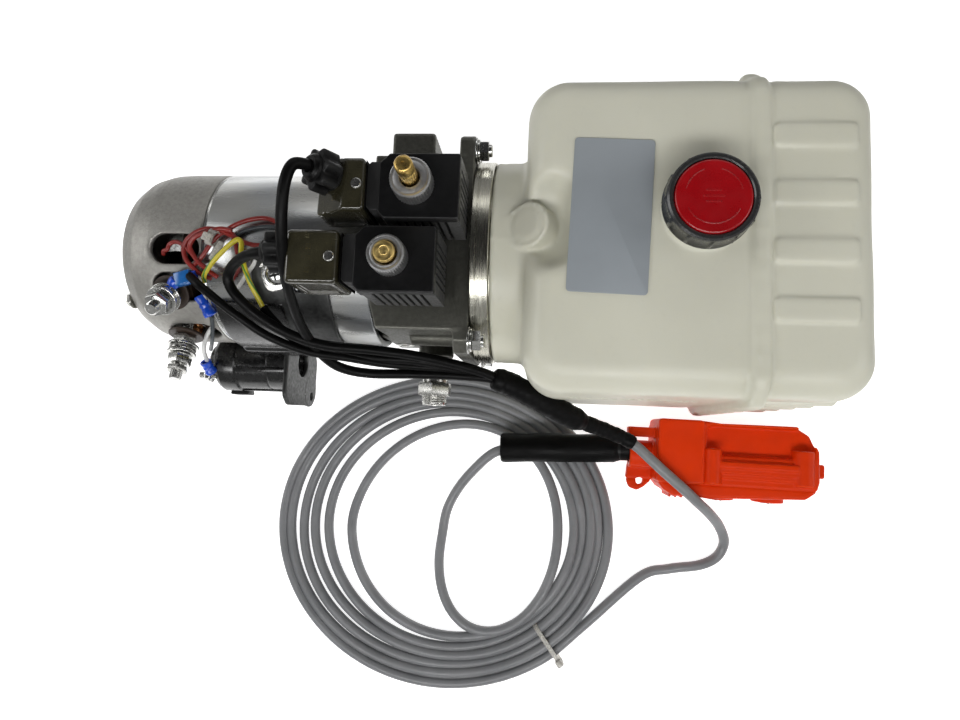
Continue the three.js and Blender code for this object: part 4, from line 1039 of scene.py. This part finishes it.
# red disc with raised arcs and three bars
parts = [lathe([(0, 149.5), (19.75, 149.5), (19.85, 150.7), (19.4, 151.4), (18.6, 151.75),
                (17.6, 151.6), (16.9, 151.55), (8, 151.85), (0, 151.9)], 96, cap_place)]
ARC_R = 14.6
for start, end in ((0.25, 1.3), (1.9, 2.9), (3.6, 5.8)):
    angles = [start + (end - start) * i / 20 for i in range(21)]
    parts.append(tube([Vector((CAP_X + ARC_R * math.cos(a), CAP_Y + ARC_R * math.sin(a), 151.5))
                       for a in angles], 0.42, 8))
for i in range(3):
    outline = rrect(11 - abs(i - 1) * 3, 1.0, 0.45, CAP_X, CAP_Y - 3 + 3 * i)
    parts.append(prism(outline, 151.4, 152.1, 0.25, seg=1))
piece("cap_inlay_disc", parts, RED, ["cap_inlay"], body="filler_cap")
piece("cap_seal", [washer(18.0, 21.3, 134.5, 136.7, 0.6, 72, cap_place)], RUBBER,
      ["cap_gasket"], body="cap_gasket")

# ================================================================ relay and bracket
BRACKET = [(-97, -20), (-90, -27), (-62, -27), (-52, -18), (-52, 34), (-60, 36), (-92, 36),
           (-98, 28)]                                    # y, z
grid = Field((-107, -101, -30), (-73, -8, 113), 0.62, 0.8)
x, y, z = grid.axes
radius = np.hypot(y, z - AXIS_Z)
angle = np.arctan2(-y, z - AXIS_Z)
plate = polygon(y, z, fillet(BRACKET, 5, 4))
form = extrude(plate, x, -104.5, -101.6, 0.5)
form = join(form, extrude(np.hypot(y + 86, z + 15) - 12, x, -104.5, -101.6, 0.5), 1.0)
# curved flange that hugs the barrel
flange = np.maximum(np.abs(radius - 58.45) - 1.1,
                    np.maximum(-(angle - 0.20) * 58, (angle - 1.74) * 58))
form = join(form, extrude(flange, x, -102, -76, 0.6), 1.2)
form = join(form, grid.box(-104.5, -77, -58.5, -55.8, 18, 42, 0.8), 1.5)
form = join(form, extrude(np.maximum(plate, -(radius - 56)), x, -104.4, -101.8, 0.4), 0.5)
form = meet(form, 57.25 - radius)
slab = np.abs(x + 103) - 6
form = cut(form, np.maximum(np.hypot(y - RELAY_Y, z - RELAY_Z) - 10, slab))
form = cut(form, np.maximum(np.hypot(y + 90, z + 17) - 3.2, slab), 0.4)
moulded("relay_bracket_plate", grid, form, DARK_STEEL, ["relay_bracket"])

# relay can, its profile measured towards -X
relay_place = basis((0, RELAY_Y, RELAY_Z), (-1, 0, 0), (0, 0, 1))
RELAY_CAN = [
    (8.5, 105), (21.4, 105), (21.4, 107.6), (20.4, 108.6), (20.4, 122), (20.0, 122.6),
    (20.0, 123.4), (20.4, 124), (20.4, 145.6), (21.9, 147), (21.9, 158.5), (20.2, 161.5),
    (17, 163), (12, 163.2), (12, 168), (9.5, 170), (0, 170)]
can = fillet(RELAY_CAN, 0.7, 2, closed=False, keep=(0,))
parts = [lathe(can + [(0, 137), (8.5, 136)], 96, relay_place, closed=True)]
for k in range(3):               # ribs along the can
    rib = (relay_place @ turn(math.radians(200 + 70 * k), "Z") @ move(0, 0, 127)
           @ turn(math.pi / 2, "Y") @ turn(math.pi / 2, "Z"))
    parts.append(prism(rrect(4.0, 37, 1.2), 19.4, 21.6, 0.7, rib))
piece("relay_can", parts, RELAY, ["relay"])
crimp_ring = fillet([(19.6, 104.6), (21.9, 104.6), (22.4, 105.4), (22.4, 108.2),
                     (21.6, 108.8), (20.2, 108.8)], 0.4)
piece("relay_crimp_ring", [lathe(crimp_ring, 96, relay_place, closed=True)], RELAY)
foot = fillet([(-158, -91), (-143, -91), (-145, -84), (-156, -84)], 1.5, 3)
piece("relay_foot_tab", [prism(foot, -9, 2, 0.6)], BLACK)
for i, (dy, dz) in enumerate(((-11.7, 7.2), (11.7, -9), (-2.7, -13.5))):
    place = basis((-163.2, RELAY_Y + dy, RELAY_Z + dz), (-1, 0, 0))
    piece(f"relay_cap_screw_{i + 1}", [
        lathe([(0, 1.9), (1.6, 1.9), (3.0, 1.1), (3.1, 0), (0, 0)], 32, place),
        prism(rrect(4.6, 0.8, 0.2), 1.85, 2.05, 0.05, place, seg=1)], BRIGHT)
for i, (y, z) in enumerate(((-78, 13), (-60, -9))):
    place = basis((-168.0, y, z), (-1, 0, 0))
    piece(f"relay_terminal_{i + 1}", [
        thread(place, 2.4, -6, 9, 0.8, 24), prism(hexagon(4.6, 0.2 * i), 0.4, 4.0, 0.5, place),
        washer(2.5, 5.2, -0.6, 0.3, 0.2, 32, place)], BRIGHT)

# cross-recess screw and its square tab on the bracket's curved flange
outward = motor_radial(0.37)
place = basis((-86, -math.sin(0.37) * BARREL_R, AXIS_Z + math.cos(0.37) * BARREL_R), outward,
              (1, 0.3, 0))
head = [(0, 5.6), (2.2, 5.9), (4.4, 5.4), (6.0, 4.4), (6.6, 3.6), (6.6, 3.0), (0, 3.0)]
recess = [(prism(rrect(*size, 0.4), 5.55, 5.98, 0.1, place, seg=1), SHADOW)
          for size in ((6.4, 1.35), (1.35, 6.4))]
piece("bracket_screw_head",
      [lathe(head, 56, place), *recess, washer(4, 9.2, 2.5, 3.2, 0.2, 56, place)],
      BRIGHT, ["bracket_screw"])
piece("bracket_tab", [prism(rrect(19, 19, 5), 0.9, 2.4, 0.35, place, seg=1)], SOFT_ZINC)


# ================================================================ black harness
def lead(name, stations, radius, rep=()):
    piece(name, [tube(catmull(stations), radius, 16)], BLACK_CABLE, rep, angle=60)


lead("lead_upper_valve", [
    upper_gland @ Vector((0, 0, 12)), upper_gland @ Vector((0, 0, 19)), (-55.5, 22.5, 168.3),
    (-58.5, 13, 169.5), (-61, 0, 165), (-63.5, -14, 156), (-66, -28, 143), (-68.3, -42, 122),
    (-68.4, -54, 102), (-64, -65, 84), (-54, -73.5, 72), (-36, -76.6, 65), (-8, -75.8, 60.5),
    (18, -75.4, 54.5), (42, -76.3, 48.5), (60, -80, 43), (74, -88.0, 36.5)], 3.15, ["harness"])
lead("lead_lower_valve", [
    lower_gland @ Vector((0, 0, 12)), (-78, -16.5, 141), (-88, -17.3, 138), (-99, -18.6, 129),
    (-108, -22.5, 120), (-110.5, -29, 116), (-105, -38, 112.5), (-92, -49, 106),
    (-76, -57.5, 98), (-58, -62, 90), (-34, -62.8, 81), (-8, -64.6, 73), (16, -68.0, 62.5),
    (38, -73.0, 53.0), (58, -80.5, 44), (74, -88.5, 36)], 3.15)
lead("lead_motor", [
    (-138.5, -24.2, 109), (-131, -29.8, 113.5), (-124.2, -35.0, 112.9), (-115.2, -42.0, 110.3),
    (-103.9, -50.2, 105.5), (-93.8, -57.0, 99.8), (-80, -63, 93), (-66, -66.5, 86),
    (-47.7, -68, 78.5), (-27.1, -70.2, 70), (-7.2, -71.0, 64.5), (17.3, -71.5, 57.5),
    (40, -74.0, 50.5), (60, -81.5, 42), (75, -89, 35)], 2.7)
lead("lead_earth", [
    (-94.8, -41.5, 100.5), (-90, -47.5, 98.5), (-82, -55.5, 94), (-70, -61.5, 87.5),
    (-52, -64.8, 79), (-30, -67.2, 72), (-8, -67.6, 68.5), (14, -69.8, 60.5), (38, -73.5, 48),
    (60, -82, 38), (75, -90, 33)], 3.0)


def shrink_radius(t):
    """Heat-shrink radius: thick, then stepping down towards the pendant cord."""
    thick, thin = 8.0, 5.6
    if t < 0.52:
        base = thick
    elif t < 0.6:
        base = thick + (thin - thick) * min(1, (t - 0.52) / 0.07)
    else:
        base = thin - 0.7 * (t - 0.6) / 0.4
    return (base * min(1.0, 0.88 + t * 3) + 0.16 * math.sin(t * 61)
            + 0.1 * math.sin(t * 143 + 1))


shrink_path = catmull([
    (45, -76.5, 49.5), (54, -79, 46), (64, -83.5, 41.5), (75, -88.7, 36), (87, -94.5, 30),
    (98, -99.5, 23.5), (107, -102.8, 18), (116, -105.6, 13.2), (125, -108.6, 9.6),
    (134, -112, 7.4), (141.5, -115.6, 6.9)], 14)
piece("harness_shrink", [tube(shrink_path, shrink_radius, 40)], RUBBER, angle=70)

# ================================================================ pendant cord
# reach of each successive turn of the coil on its four sides
COIL_RIGHT = [136.5, 129.4, 122.6, 116.2, 109.9, 103.2, 92]             # +X side, x
COIL_NEAR = [-302.4, -295.2, -288.4, -281.8, -275.2, -268, -262]        # -Y side, y
COIL_LEFT = [-125.0, -118.2, -108.4, -98.6, -87.8, -69.5, 2.6]          # -X side, x
COIL_FAR = [-72.5, -78.8, -84.8, -90.8, -97.0, -106.5, -124]            # +Y side, y


def at_turn(values, turns):
    """Value at a fractional turn, held at both ends."""
    turns = min(max(turns, 0.0), len(values) - 1.0)
    i = min(int(turns), len(values) - 2)
    return values[i] + (values[i + 1] - values[i]) * (turns - i)


cord = [
    (139.6, -114.8, 6.9), (146, -119.6, 7.2), (152, -125, 7.6), (161, -133.0, 7.6),
    (170, -140.6, 7.4), (178, -147.3, 6.0), (187, -154.9, 0.5), (198, -163.6, -11),
    (208.4, -174, -25), (214.2, -186.5, -34.5), (209.8, -198, CORD_Z), (197, -204.8, CORD_Z),
    (174.5, -208.8, CORD_Z), (153, -216.3, CORD_Z)]
for i in range(2, 131):          # 20 stations a turn
    turns = i / 20
    a = -2 * math.pi * turns
    right, near = at_turn(COIL_RIGHT, turns), at_turn(COIL_NEAR, turns - 0.25)
    left, far = at_turn(COIL_LEFT, turns - 0.5), at_turn(COIL_FAR, turns - 0.75)
    wobble = 0.8 * math.sin(turns * 9.1) + 0.6 * math.sin(turns * 23.7 + 1)
    # turns pile up near the tie, and the last one crosses over the rest
    part = turns % 1.0
    pile = math.exp(-((min(abs(part - 0.12), abs(part - 1.12)) / 0.16) ** 2))
    lift = 0.0 if turns < 0.6 else pile * (3.2 if int(turns) % 2 else 0.4)
    if turns > 5.6:
        lift = max(lift, 5.5 * math.exp(-((turns - 6.12) / 0.22) ** 2))
    cord.append(((right + left) / 2 + (right - left + wobble) / 2 * math.cos(a),
                 (far + near) / 2 + (far - near + wobble) / 2 * math.sin(a), CORD_Z + lift))
cord += [(6.0, -172, -36.5), (15.5, -154, -32), (29, -138, -26), (40, -128.2, -22.4),
         (50, -124.2, SLEEVE_Z), (60, -122.8, SLEEVE_Z)]
piece("pendant_cord", [tube(catmull(cord), 3.72, 14)], GREY_CABLE,
      ["pendant_cable"], angle=70)


def cable_tie(name, centre, direction, across, height, width, thick):
    """Nylon strap round a bundle that runs along direction, with its locking head."""
    place = basis(centre, direction, (0, 0, 1))      # local X up, local Y across the bundle
    corner = min(height, across) * 0.45
    outer = rrect(height + 2 * thick, across + 2 * thick, corner + thick, seg=8)
    inner = rrect(height, across, corner, seg=8)
    half = width / 2
    rings = [[(x, y, z) for x, y in outline]
             for outline, z in ((outer, -half), (outer, half), (inner, half), (inner, -half))]
    head = place @ move(height / 2 + thick + 1.0, across * 0.5 - 3, 0)
    piece(name, [hoop(rings, place),
                 prism(rrect(3.6, 5.0, 0.7), -half - 0.8, half + 0.8, 0.5, head)],
          NYLON)


cable_tie("coil_tie", (86.5, -268.6, -36.6), (0.80, 0.60, 0), across=34.5, height=10.6,
          width=3.2, thick=0.9)

# sleeve where the cord enters the pendant, a little flattened and bent
sleeve_place = move(46.2, -123.2, SLEEVE_Z) @ turn(0.035, "Z") @ turn(math.pi / 2, "Y")
SLEEVE = [(6.2, 0.0), (9.6, 0.2), (10.7, 1.4), (10.9, 4), (10.5, 20), (10.8, 34), (10.4, 60),
          (10.6, 76), (10.3, 84), (9.4, 88), (8.4, 92.5), (8.6, 98), (6.2, 98)]
sleeve = lathe(fillet(SLEEVE, 1.2, 3), 48, sleeve_place, closed=True)
for vert in sleeve.verts:
    x = vert.co.x
    vert.co.z = SLEEVE_Z + (vert.co.z - SLEEVE_Z) * (0.93 + 0.03 * math.sin(x * 0.21))
    vert.co.y += 0.25 * math.sin(x * 0.33)
liner = fillet([(7.0, 79), (9.0, 79), (9.1, 97.6), (7.0, 97.6)], 0.6)
clip = fillet([(7.4, 80), (9.3, 80), (8.6, 92), (7.0, 93)], 0.5)
piece("pendant_sleeve_shrink",
      [sleeve, lathe(liner, 40, sleeve_place @ move(0, 0, 0.4), closed=True)],
      RUBBER, ["pendant_sleeve"])
piece("pendant_sleeve_clip", [lathe(clip, 40, sleeve_place @ move(0, 0, 4.4), closed=True)],
      BLACK)


def saddle(name, x0, x1, y_top, z_low, thick, mat, web_top=None):
    """Curved strap on the -Y side of the barrel, with an optional web below it."""
    grid = Field((x0 - 3, -64, z_low - 3), (x1 + 3, y_top + 3, 105), 0.7, 0.9)
    x, y, z = grid.axes
    radius = np.hypot(y, z - AXIS_Z)
    form = extrude(np.abs(radius - 57.3 - thick / 2) - thick / 2, x, x0, x1, 0.9)
    form = meet(form, y - y_top, 1.2)
    form = meet(form, z_low - z, 0.6)
    if web_top:
        web = grid.box(x0 + 1, x1 - 1, -63, -54, z_low, web_top, 2.2)
        form = join(form, meet(web, 57.6 - radius, 0.6), 2.5)
    moulded(name, grid, form, mat)


saddle("relay_saddle", -128.5, -84, y_top=-37.5, z_low=21, thick=3.0, mat=RELAY,
       web_top=52)
saddle("relay_bracket_strap", -77.5, -54.5, y_top=-30.5, z_low=24, thick=2.2, mat=DARK_STEEL)

# ================================================================ pendant
# drawn along its own X from the cord end, then laid in place
PENDANT = move(145, -123.5, 0) @ turn(-0.02, "Z")
MID_Z = -19.8
PENDANT_OUTLINE = [(13.5, -16), (19, -23), (26, -27.2), (52, -27.8), (117, -24.6), (124.5, -19),
                   (126.5, -12), (126, 9), (121.5, 20), (111, 26.2), (60, 25.6), (46, 26.6),
                   (17, 25.6), (13.5, 21)]
EYE_OUTLINE = [(-3.5, -6), (15, -4), (15, -18), (9, -24), (4, -27), (-2, -25), (-4.5, -18)]
TOWERS = ((53.0, 6.3, -17.8, 7.4, 3.4), (115.6, 7.4, -15.6, 9.0, 2.6))   # x, r, y0, y1, top z
# name, CAD piece, x, body, offsets of the raised bars
BUTTONS = (("raise_cap", "button_raise", 61, "raise_button", (-1, 1)),
           ("lower_cap", "button_lower", 96, "lower_button", (0,)))
grid = Field((-9, -32, -44), (138, 31, 6), 0.68, 0.95)
x, y, z = grid.axes
form = extrude(polygon(x, y, fillet(PENDANT_OUTLINE, 3.5, 4)), z, -41.8, -1.6, 2.2)
form = join(form, extrude(rounded_rect(x - 30.5, y - 4, 16.2, 22.8, 3), z, -41.6, 2.2, 1.6), 1.0)
form = cut(form, extrude(rounded_rect(x - 86, y - 13.4, 37.0, 10.4, 5), z, -8.0, 8, 1.5), 3.0)
for y0, y1, top in ((-13.0, -9.0, -0.4), (-9.4, -5.2, 0.9), (-5.6, -1.2, 2.1)):    # ledges
    form = join(form, grid.box(57, 111, y0, y1, -12, top, 0.7), 0.5)
for tower_x, r, y0, y1, top in TOWERS:
    barrel = np.hypot(x - tower_x, z - (top - r)) - r
    form = join(form, extrude(barrel, y, y0, y1, 1.0), 0.8)
    form = join(form, grid.box(tower_x - r, tower_x + r, y0, y1, -20, top - r, 0.8), 0.5)
    hole = np.hypot(x - tower_x, z - (top - r + 0.6)) - 3.1
    form = cut(form, extrude(hole, y, y1 - 1.6, y1 + 8, 0.3), 0.4)
# fin, collar, eye and bore at the cord end, and a nub at the far end
form = join(form, grid.box(-6, 16, 12.6, 19.8, -17, -5.5, 1.0), 1.2)
form = join(form, extrude(np.hypot(y, z - MID_Z) - 10.2, x, -3.5, 15, 1.2), 1.6)
form = join(form, extrude(polygon(x, y, fillet(EYE_OUTLINE, 3.5, 4)), z, -31, -24, 1.2), 1.5)
form = cut(form, extrude(np.hypot(x - 5.6, y + 20) - 2.5, z, -40, -10, 0.2), 0.6)
form = join(form, grid.box(124, 134.5, -9.8, 0.2, -26, -15, 1.2), 1.2)
form = cut(form, np.maximum(np.hypot(y, z - MID_Z) - 6.4, x - 12))
# parting lines
form = form + 0.75 * ridge(y, -18.4, 0.55)
form = form + 0.45 * ridge(z, MID_Z, 0.55) * (y > -18.4) * (x > 16)
for _, _, button_x, _, _ in BUTTONS:
    around = np.hypot(x - button_x, z - MID_Z)
    form = cut(form, np.maximum(around - 8.75, y + 14.4), 0.5)
    form = join(form, np.maximum(np.abs(around - 10.2) - 0.9,
                                 np.maximum(-28.9 - y, y + 24)), 0.6)
for k in range(6):
    form = join(form, grid.box(24 + k * 4.0, 25.6 + k * 4.0, -28.9, -24, -36, -6, 0.7), 0.6)
moulded("pendant_housing", grid, form, ORANGE,
        ["pendant_shell_upper", "pendant_shell_lower"], angle=0, place=PENDANT)

for i, (tower_x, r, _, y1, top) in enumerate(TOWERS):
    place = PENDANT @ basis((tower_x, y1 - 1.6, top - r + 0.6), (0, 1, 0))
    head = [(0, 1.5), (1.4, 1.5), (2.5, 1.0), (2.8, 0.2), (2.8, -0.8), (0, -0.8)]
    piece(f"pendant_screw_{i + 1}", [
        lathe(head, 28, place), prism(rrect(3.8, 0.7, 0.2), 1.45, 1.62, 0.04, place, seg=1)],
        BRIGHT)
for name, node, button_x, body, bars in BUTTONS:
    place = PENDANT @ basis((button_x, -18.5, MID_Z), (0, -1, 0), (1, 0, 0))
    profile = [(0, 0.2), (8.1, 0.2), (8.1, 9.4), (6.4, 10.9), (0, 11.0)]
    parts = [lathe(fillet(profile, 1.0, 3, closed=False), 64, place)]
    for k in bars:
        parts.append(prism(rrect(1.4, 7.5, 0.6, k * 1.6), 10.8, 11.35, 0.25, place, seg=1))
    piece(name, parts, RUBBER, [node], body=body)
    piece(name + "_boot", [washer(8.2, 8.7, 3.2, 4.4, 0.15, 48, place)], RUBBER)


# ================================================================ wires
def wire(name, stations, radius, mat):
    piece(name, [tube(catmull(stations, 7), radius)], mat, angle=60)


wire("wire_red_long", [
    (-117.2, 4.0, 110.4), (-111.4, 7.8, 110.0), (-103.5, 11.1, 109.2), (-94.3, 12.5, 108.4),
    (-86.7, 10.2, 108.4), (-82.9, 6.0, 108.6), (-84.7, 0.8, 108.7), (-90.6, -3.4, 108.9),
    (-97.8, -4.5, 109.0), (-105.1, -3.1, 109.6), (-114.8, 1.4, 110.5), (-121.3, 3.9, 111.4),
    (-128.8, 4.6, 111.6), (-135.9, 2.2, 111.4), (-141.3, -2.1, 110.5), (-143.9, -7.1, 109.3),
    (-142.7, -13.1, 108.0), (-138.8, -17.8, 107.4), (-132.9, -22.5, 106.2),
    (-126.8, -24.7, 105.2)], 1.45, WIRE_RED)
wire("wire_red_inner", [
    (-113, 3.4, 111.6), (-119, 4.4, 112.8), (-124.3, 2.9, 113.4), (-130.4, 1.0, 113.2),
    (-136.0, -1.5, 112.4), (-139.0, -6.0, 111.2), (-137.2, -10.9, 110.0),
    (-133.6, -15.6, 109.2), (-129.4, -18.8, 108.6), (-125.8, -21.6, 108.4),
    (-121.8, -24.2, 107.6)], 1.45, WIRE_RED)
wire("wire_red_down", [
    (-113.5, 2.6, 110.2), (-111.6, -1.0, 110.0), (-110.4, -6.5, 109.4), (-109.0, -13.2, 108.0),
    (-110.2, -19.2, 106.0), (-114.6, -25.4, 103.6)], 1.4, WIRE_RED)
wire("wire_red_stub", [
    (-159.5, -9.6, 104), (-158.0, -8.4, 106.6), (-155.2, -7.4, 107.3), (-153.9, -4.4, 107.7),
    (-149.6, -2.9, 108.2), (-144.4, -5.0, 108.8), (-139.5, -9.4, 108.8),
    (-134.6, -14.6, 108.0)], 1.3, WIRE_RED)
wire("wire_red_back", [
    (-139, -17.5, 105.6), (-132, -12, 108.6), (-126.5, -4.0, 109.4), (-121, 2.2, 109.3),
    (-114.5, 3.6, 108.8)], 1.35, WIRE_RED)
wire("wire_slate", [
    (-113.4, -1.4, 108.6), (-109.4, 2.8, 108.6), (-103.4, 5.4, 108.4), (-95.3, 7.2, 108.0),
    (-87.0, 7.0, 108.0), (-80.5, 4.4, 108.2), (-74, 3, 108)], 1.1, WIRE_SLATE)
EARTH_WIRE = [
    (-130.0, -27.4, 107.0), (-129.0, -23.4, 109.8), (-122.8, -16.8, 113.4),
    (-116.0, -10.1, 115.0), (-110.8, -5.4, 115.6), (-106.8, -3.0, 115.7),
    (-104.6, -5.1, 115.4), (-104.6, -10.9, 114.7), (-102.7, -19.5, 112.5),
    (-100.4, -27.8, 108.9), (-97.4, -35.0, 104.4), (-94.8, -41.0, 101.0)]
wire("wire_earth_yellow", EARTH_WIRE, 1.5, WIRE_YELLOW)
# green stripe that winds round the earth wire
path = catmull(EARTH_WIRE, 7)
stripe = []
for i, point in enumerate(path):
    tangent = (path[min(len(path) - 1, i + 1)] - path[max(0, i - 1)]).normalized()
    side = tangent.cross(Vector((0, 0, 1))).normalized()
    a = i * 0.13 + 0.4
    stripe.append(point + (side * math.cos(a) + side.cross(tangent) * math.sin(a)) * 0.95)
piece("wire_earth_stripe", [tube(stripe, 0.72, 8)], WIRE_GREEN, angle=60)
wire("wire_white_short", [
    (-98.6, -13.4, 107.4), (-100.4, -17.0, 107.0), (-104.3, -21.4, 105.5),
    (-109.0, -27.2, 103.0), (-112.4, -30.0, 101.6)], 1.3, WIRE_WHITE)
wire("wire_white_long", [
    (-128.3, -42.6, 86.0), (-131.4, -44.2, 82.0), (-136.2, -47.8, 76.0), (-143, -51.0, 69.0),
    (-149.6, -54.5, 61.0), (-156.0, -59.2, 51.0), (-160.6, -62.8, 42.0), (-162.8, -66.0, 35.0),
    (-163.6, -68.6, 30.5)], 1.5, WIRE_WHITE)
wire("wire_crimp_drop", [
    (-134.4, -45.0, 87), (-136.5, -50, 80), (-141, -58, 70), (-149, -63, 55)], 1.3, WIRE_SLATE)


def crimp(name, start, end, r):
    """Insulated crimp: a tube with two pressed dents."""
    span = Vector(end) - Vector(start)
    length = span.length
    # radius and distance along, each as a share of the whole
    shares = [(0.55, 0), (0.98, 0), (0.86, 0.22), (0.80, 0.36), (0.93, 0.46), (0.80, 0.60),
              (0.93, 0.72), (1, 0.8), (1, 1), (0.5, 1)]
    profile = fillet([(r * a, length * b) for a, b in shares], r * 0.2)
    piece(name, [lathe(profile, 32, basis(start, span, (0, 0, 1)), closed=True)], BLUE)


tongue = stud_a @ move(0, 0, 66.6)
piece("ring_tongue_a", [washer(4.3, 8.4, 1.4, 2.4, 0.2, 40, tongue)], BRIGHT)
crimp("crimp_ring_a", (-157.0, -35.4, 104.6), (-148.2, -26.2, 106.4), 3.9)
start = Vector((-148.4, -26.6, 106.8))
place = basis(start, Vector((-136.5, -23.4, 107.4)) - start, (0, 0, 1))
piece("spade_housing", [
    prism(rrect(5.4, 8.6, 1.0), 0, 10.5, 0.7, place),
    (prism(rrect(4.2, 5.6, 1.6), 10.2, 13.6, 0.5, place), BLUE),
    (prism(rrect(0.9, 6.3, 0.2), -3.2, 2, 0.1, place, seg=1), BRIGHT)], PALE_BLUE)
crimp("crimp_mid", (-139.4, -33.4, 94.0), (-132.8, -45.4, 90.0), 4.0)
crimp("crimp_relay", (-164.4, -69.4, 31.4), (-162.4, -76.6, 24.4), 4.3)
place = basis((-165.5, -79.5, 18.2), (-0.9, -0.2, 0.3), (0, 0.3, 1))
piece("relay_lug", [prism(rrect(4.2, 7.0, 1.8), 0, 1.0, 0.25, place, seg=1)], BRIGHT)
cable_tie("wire_tie", (-124.4, -1.2, 112.4), (0.93, -0.38, 0.0), across=8.4, height=6.6,
          width=4.2, thick=0.8)
place = basis((-121.0, -9.4, 112.6), (0.1, 0.12, 1.0), (0.92, -0.38, 0))
piece("wire_tie_tail", [prism(rrect(4.0, 13, 1.2), 0, 1.0, 0.3, place)], NYLON)

# ================================================================ floor, light, camera
# from here on lengths are in metres
PAPER = ((-0.013, 0.415), (-0.05, 0.315))       # centre and half size along x, then y


def floor_paper():
    """White paper that darkens beyond the PAPER rectangle."""
    mat = finish("floor_paper", (0.90, 0.90, 0.895), drift=(0, 4), rough=(0.8, 0.12),
                 grain=(0.02, 1500), spec=0.1)
    graph = Graph(mat.node_tree)
    shader = graph.principled()
    where = graph.node("TexCoord").outputs["Object"]
    split = graph.node("SeparateXYZ", {0: where})
    shares = []
    for axis, (centre, half) in enumerate(PAPER):
        offset = graph.math("SUBTRACT", split.outputs[axis], centre)
        shares.append(graph.math("DIVIDE", graph.math("ABSOLUTE", offset), half))
    reach = graph.math("MAXIMUM", *shares)
    shader.inputs["Emission Color"].default_value = (1, 1, 1, 1)
    graph.feed(shader.inputs["Emission Strength"], graph.remap(reach, 1.0, 1.5, 0.80, 0.16))
    graph.feed(shader.inputs["Base Color"], graph.remap(reach, 1.0, 1.5, 0.90, 0.36))
    return mat


def floor():
    solid = bmesh.new()
    bmesh.ops.create_grid(solid, x_segments=2, y_segments=2, size=6.0)
    mesh = bpy.data.meshes.new("floor")
    solid.to_mesh(mesh)
    solid.free()
    mesh.materials.append(floor_paper())
    plane = bpy.data.objects.new("floor", mesh)
    plane.location = (0, 0, -0.0421)
    bpy.context.scene.collection.objects.link(plane)


def area(name, at, target, size, power):
    light = bpy.data.lights.new(name, "AREA")
    light.shape = "RECTANGLE"
    light.size, light.size_y = size
    light.energy = power
    lamp = bpy.data.objects.new(name, light)
    lamp.location = at
    lamp.rotation_euler = (Vector(target) - Vector(at)).to_track_quat("-Z", "Y").to_euler()
    bpy.context.scene.collection.objects.link(lamp)


floor()
area("key_strip", (0.05, -0.86, 1.15), target=(0.03, -0.05, 0.05), size=(1.6, 0.30), power=13)
area("left_soft", (-1.35, 0.15, 0.85), target=(0, 0, 0.05), size=(0.9, 0.5), power=5)
area("back_soft", (0.15, 1.35, 0.95), target=(0.05, 0, 0.05), size=(1.6, 0.35), power=2.6)
area("right_soft", (1.6, -0.2, 0.9), target=(0.1, 0, 0.05), size=(0.8, 0.5), power=4)

# world: a grey ramp over height, brightest a little above the horizon
world = bpy.data.worlds.new("studio")
bpy.context.scene.world = world
world.use_nodes = True
graph = Graph(world.node_tree)
background = world.node_tree.nodes["Background"]
background.inputs["Strength"].default_value = 0.38
split = graph.node("SeparateXYZ", {0: graph.node("TexCoord").outputs["Generated"]})
ramp = graph.node("ValToRGB", {0: split.outputs["Z"]})
stops = ramp.color_ramp.elements
stops[0].position, stops[0].color = 0.0, (0.70, 0.70, 0.70, 1)
stops[1].position, stops[1].color = 1.0, (0.05, 0.05, 0.05, 1)
stops.new(0.35).color = (0.95, 0.95, 0.94, 1)
stops.new(0.75).color = (0.14, 0.14, 0.145, 1)
graph.feed(background.inputs["Color"], ramp.outputs[0])

lens = bpy.data.cameras.new("camera")
lens.sensor_fit, lens.sensor_width = "HORIZONTAL", 36.0
lens.lens = 25.7176125
lens.clip_start, lens.clip_end = 0.01, 20
camera = bpy.data.objects.new("camera", lens)
bpy.context.scene.collection.objects.link(camera)
camera.location = (0.07676, -0.10913, 0.50073)
camera.rotation_euler = (0.102325, 0.088979, 0.039129)
bpy.context.scene.camera = camera
view = bpy.context.scene.view_settings
view.view_transform = "Standard"
view.look = "None"
view.exposure = 0.0
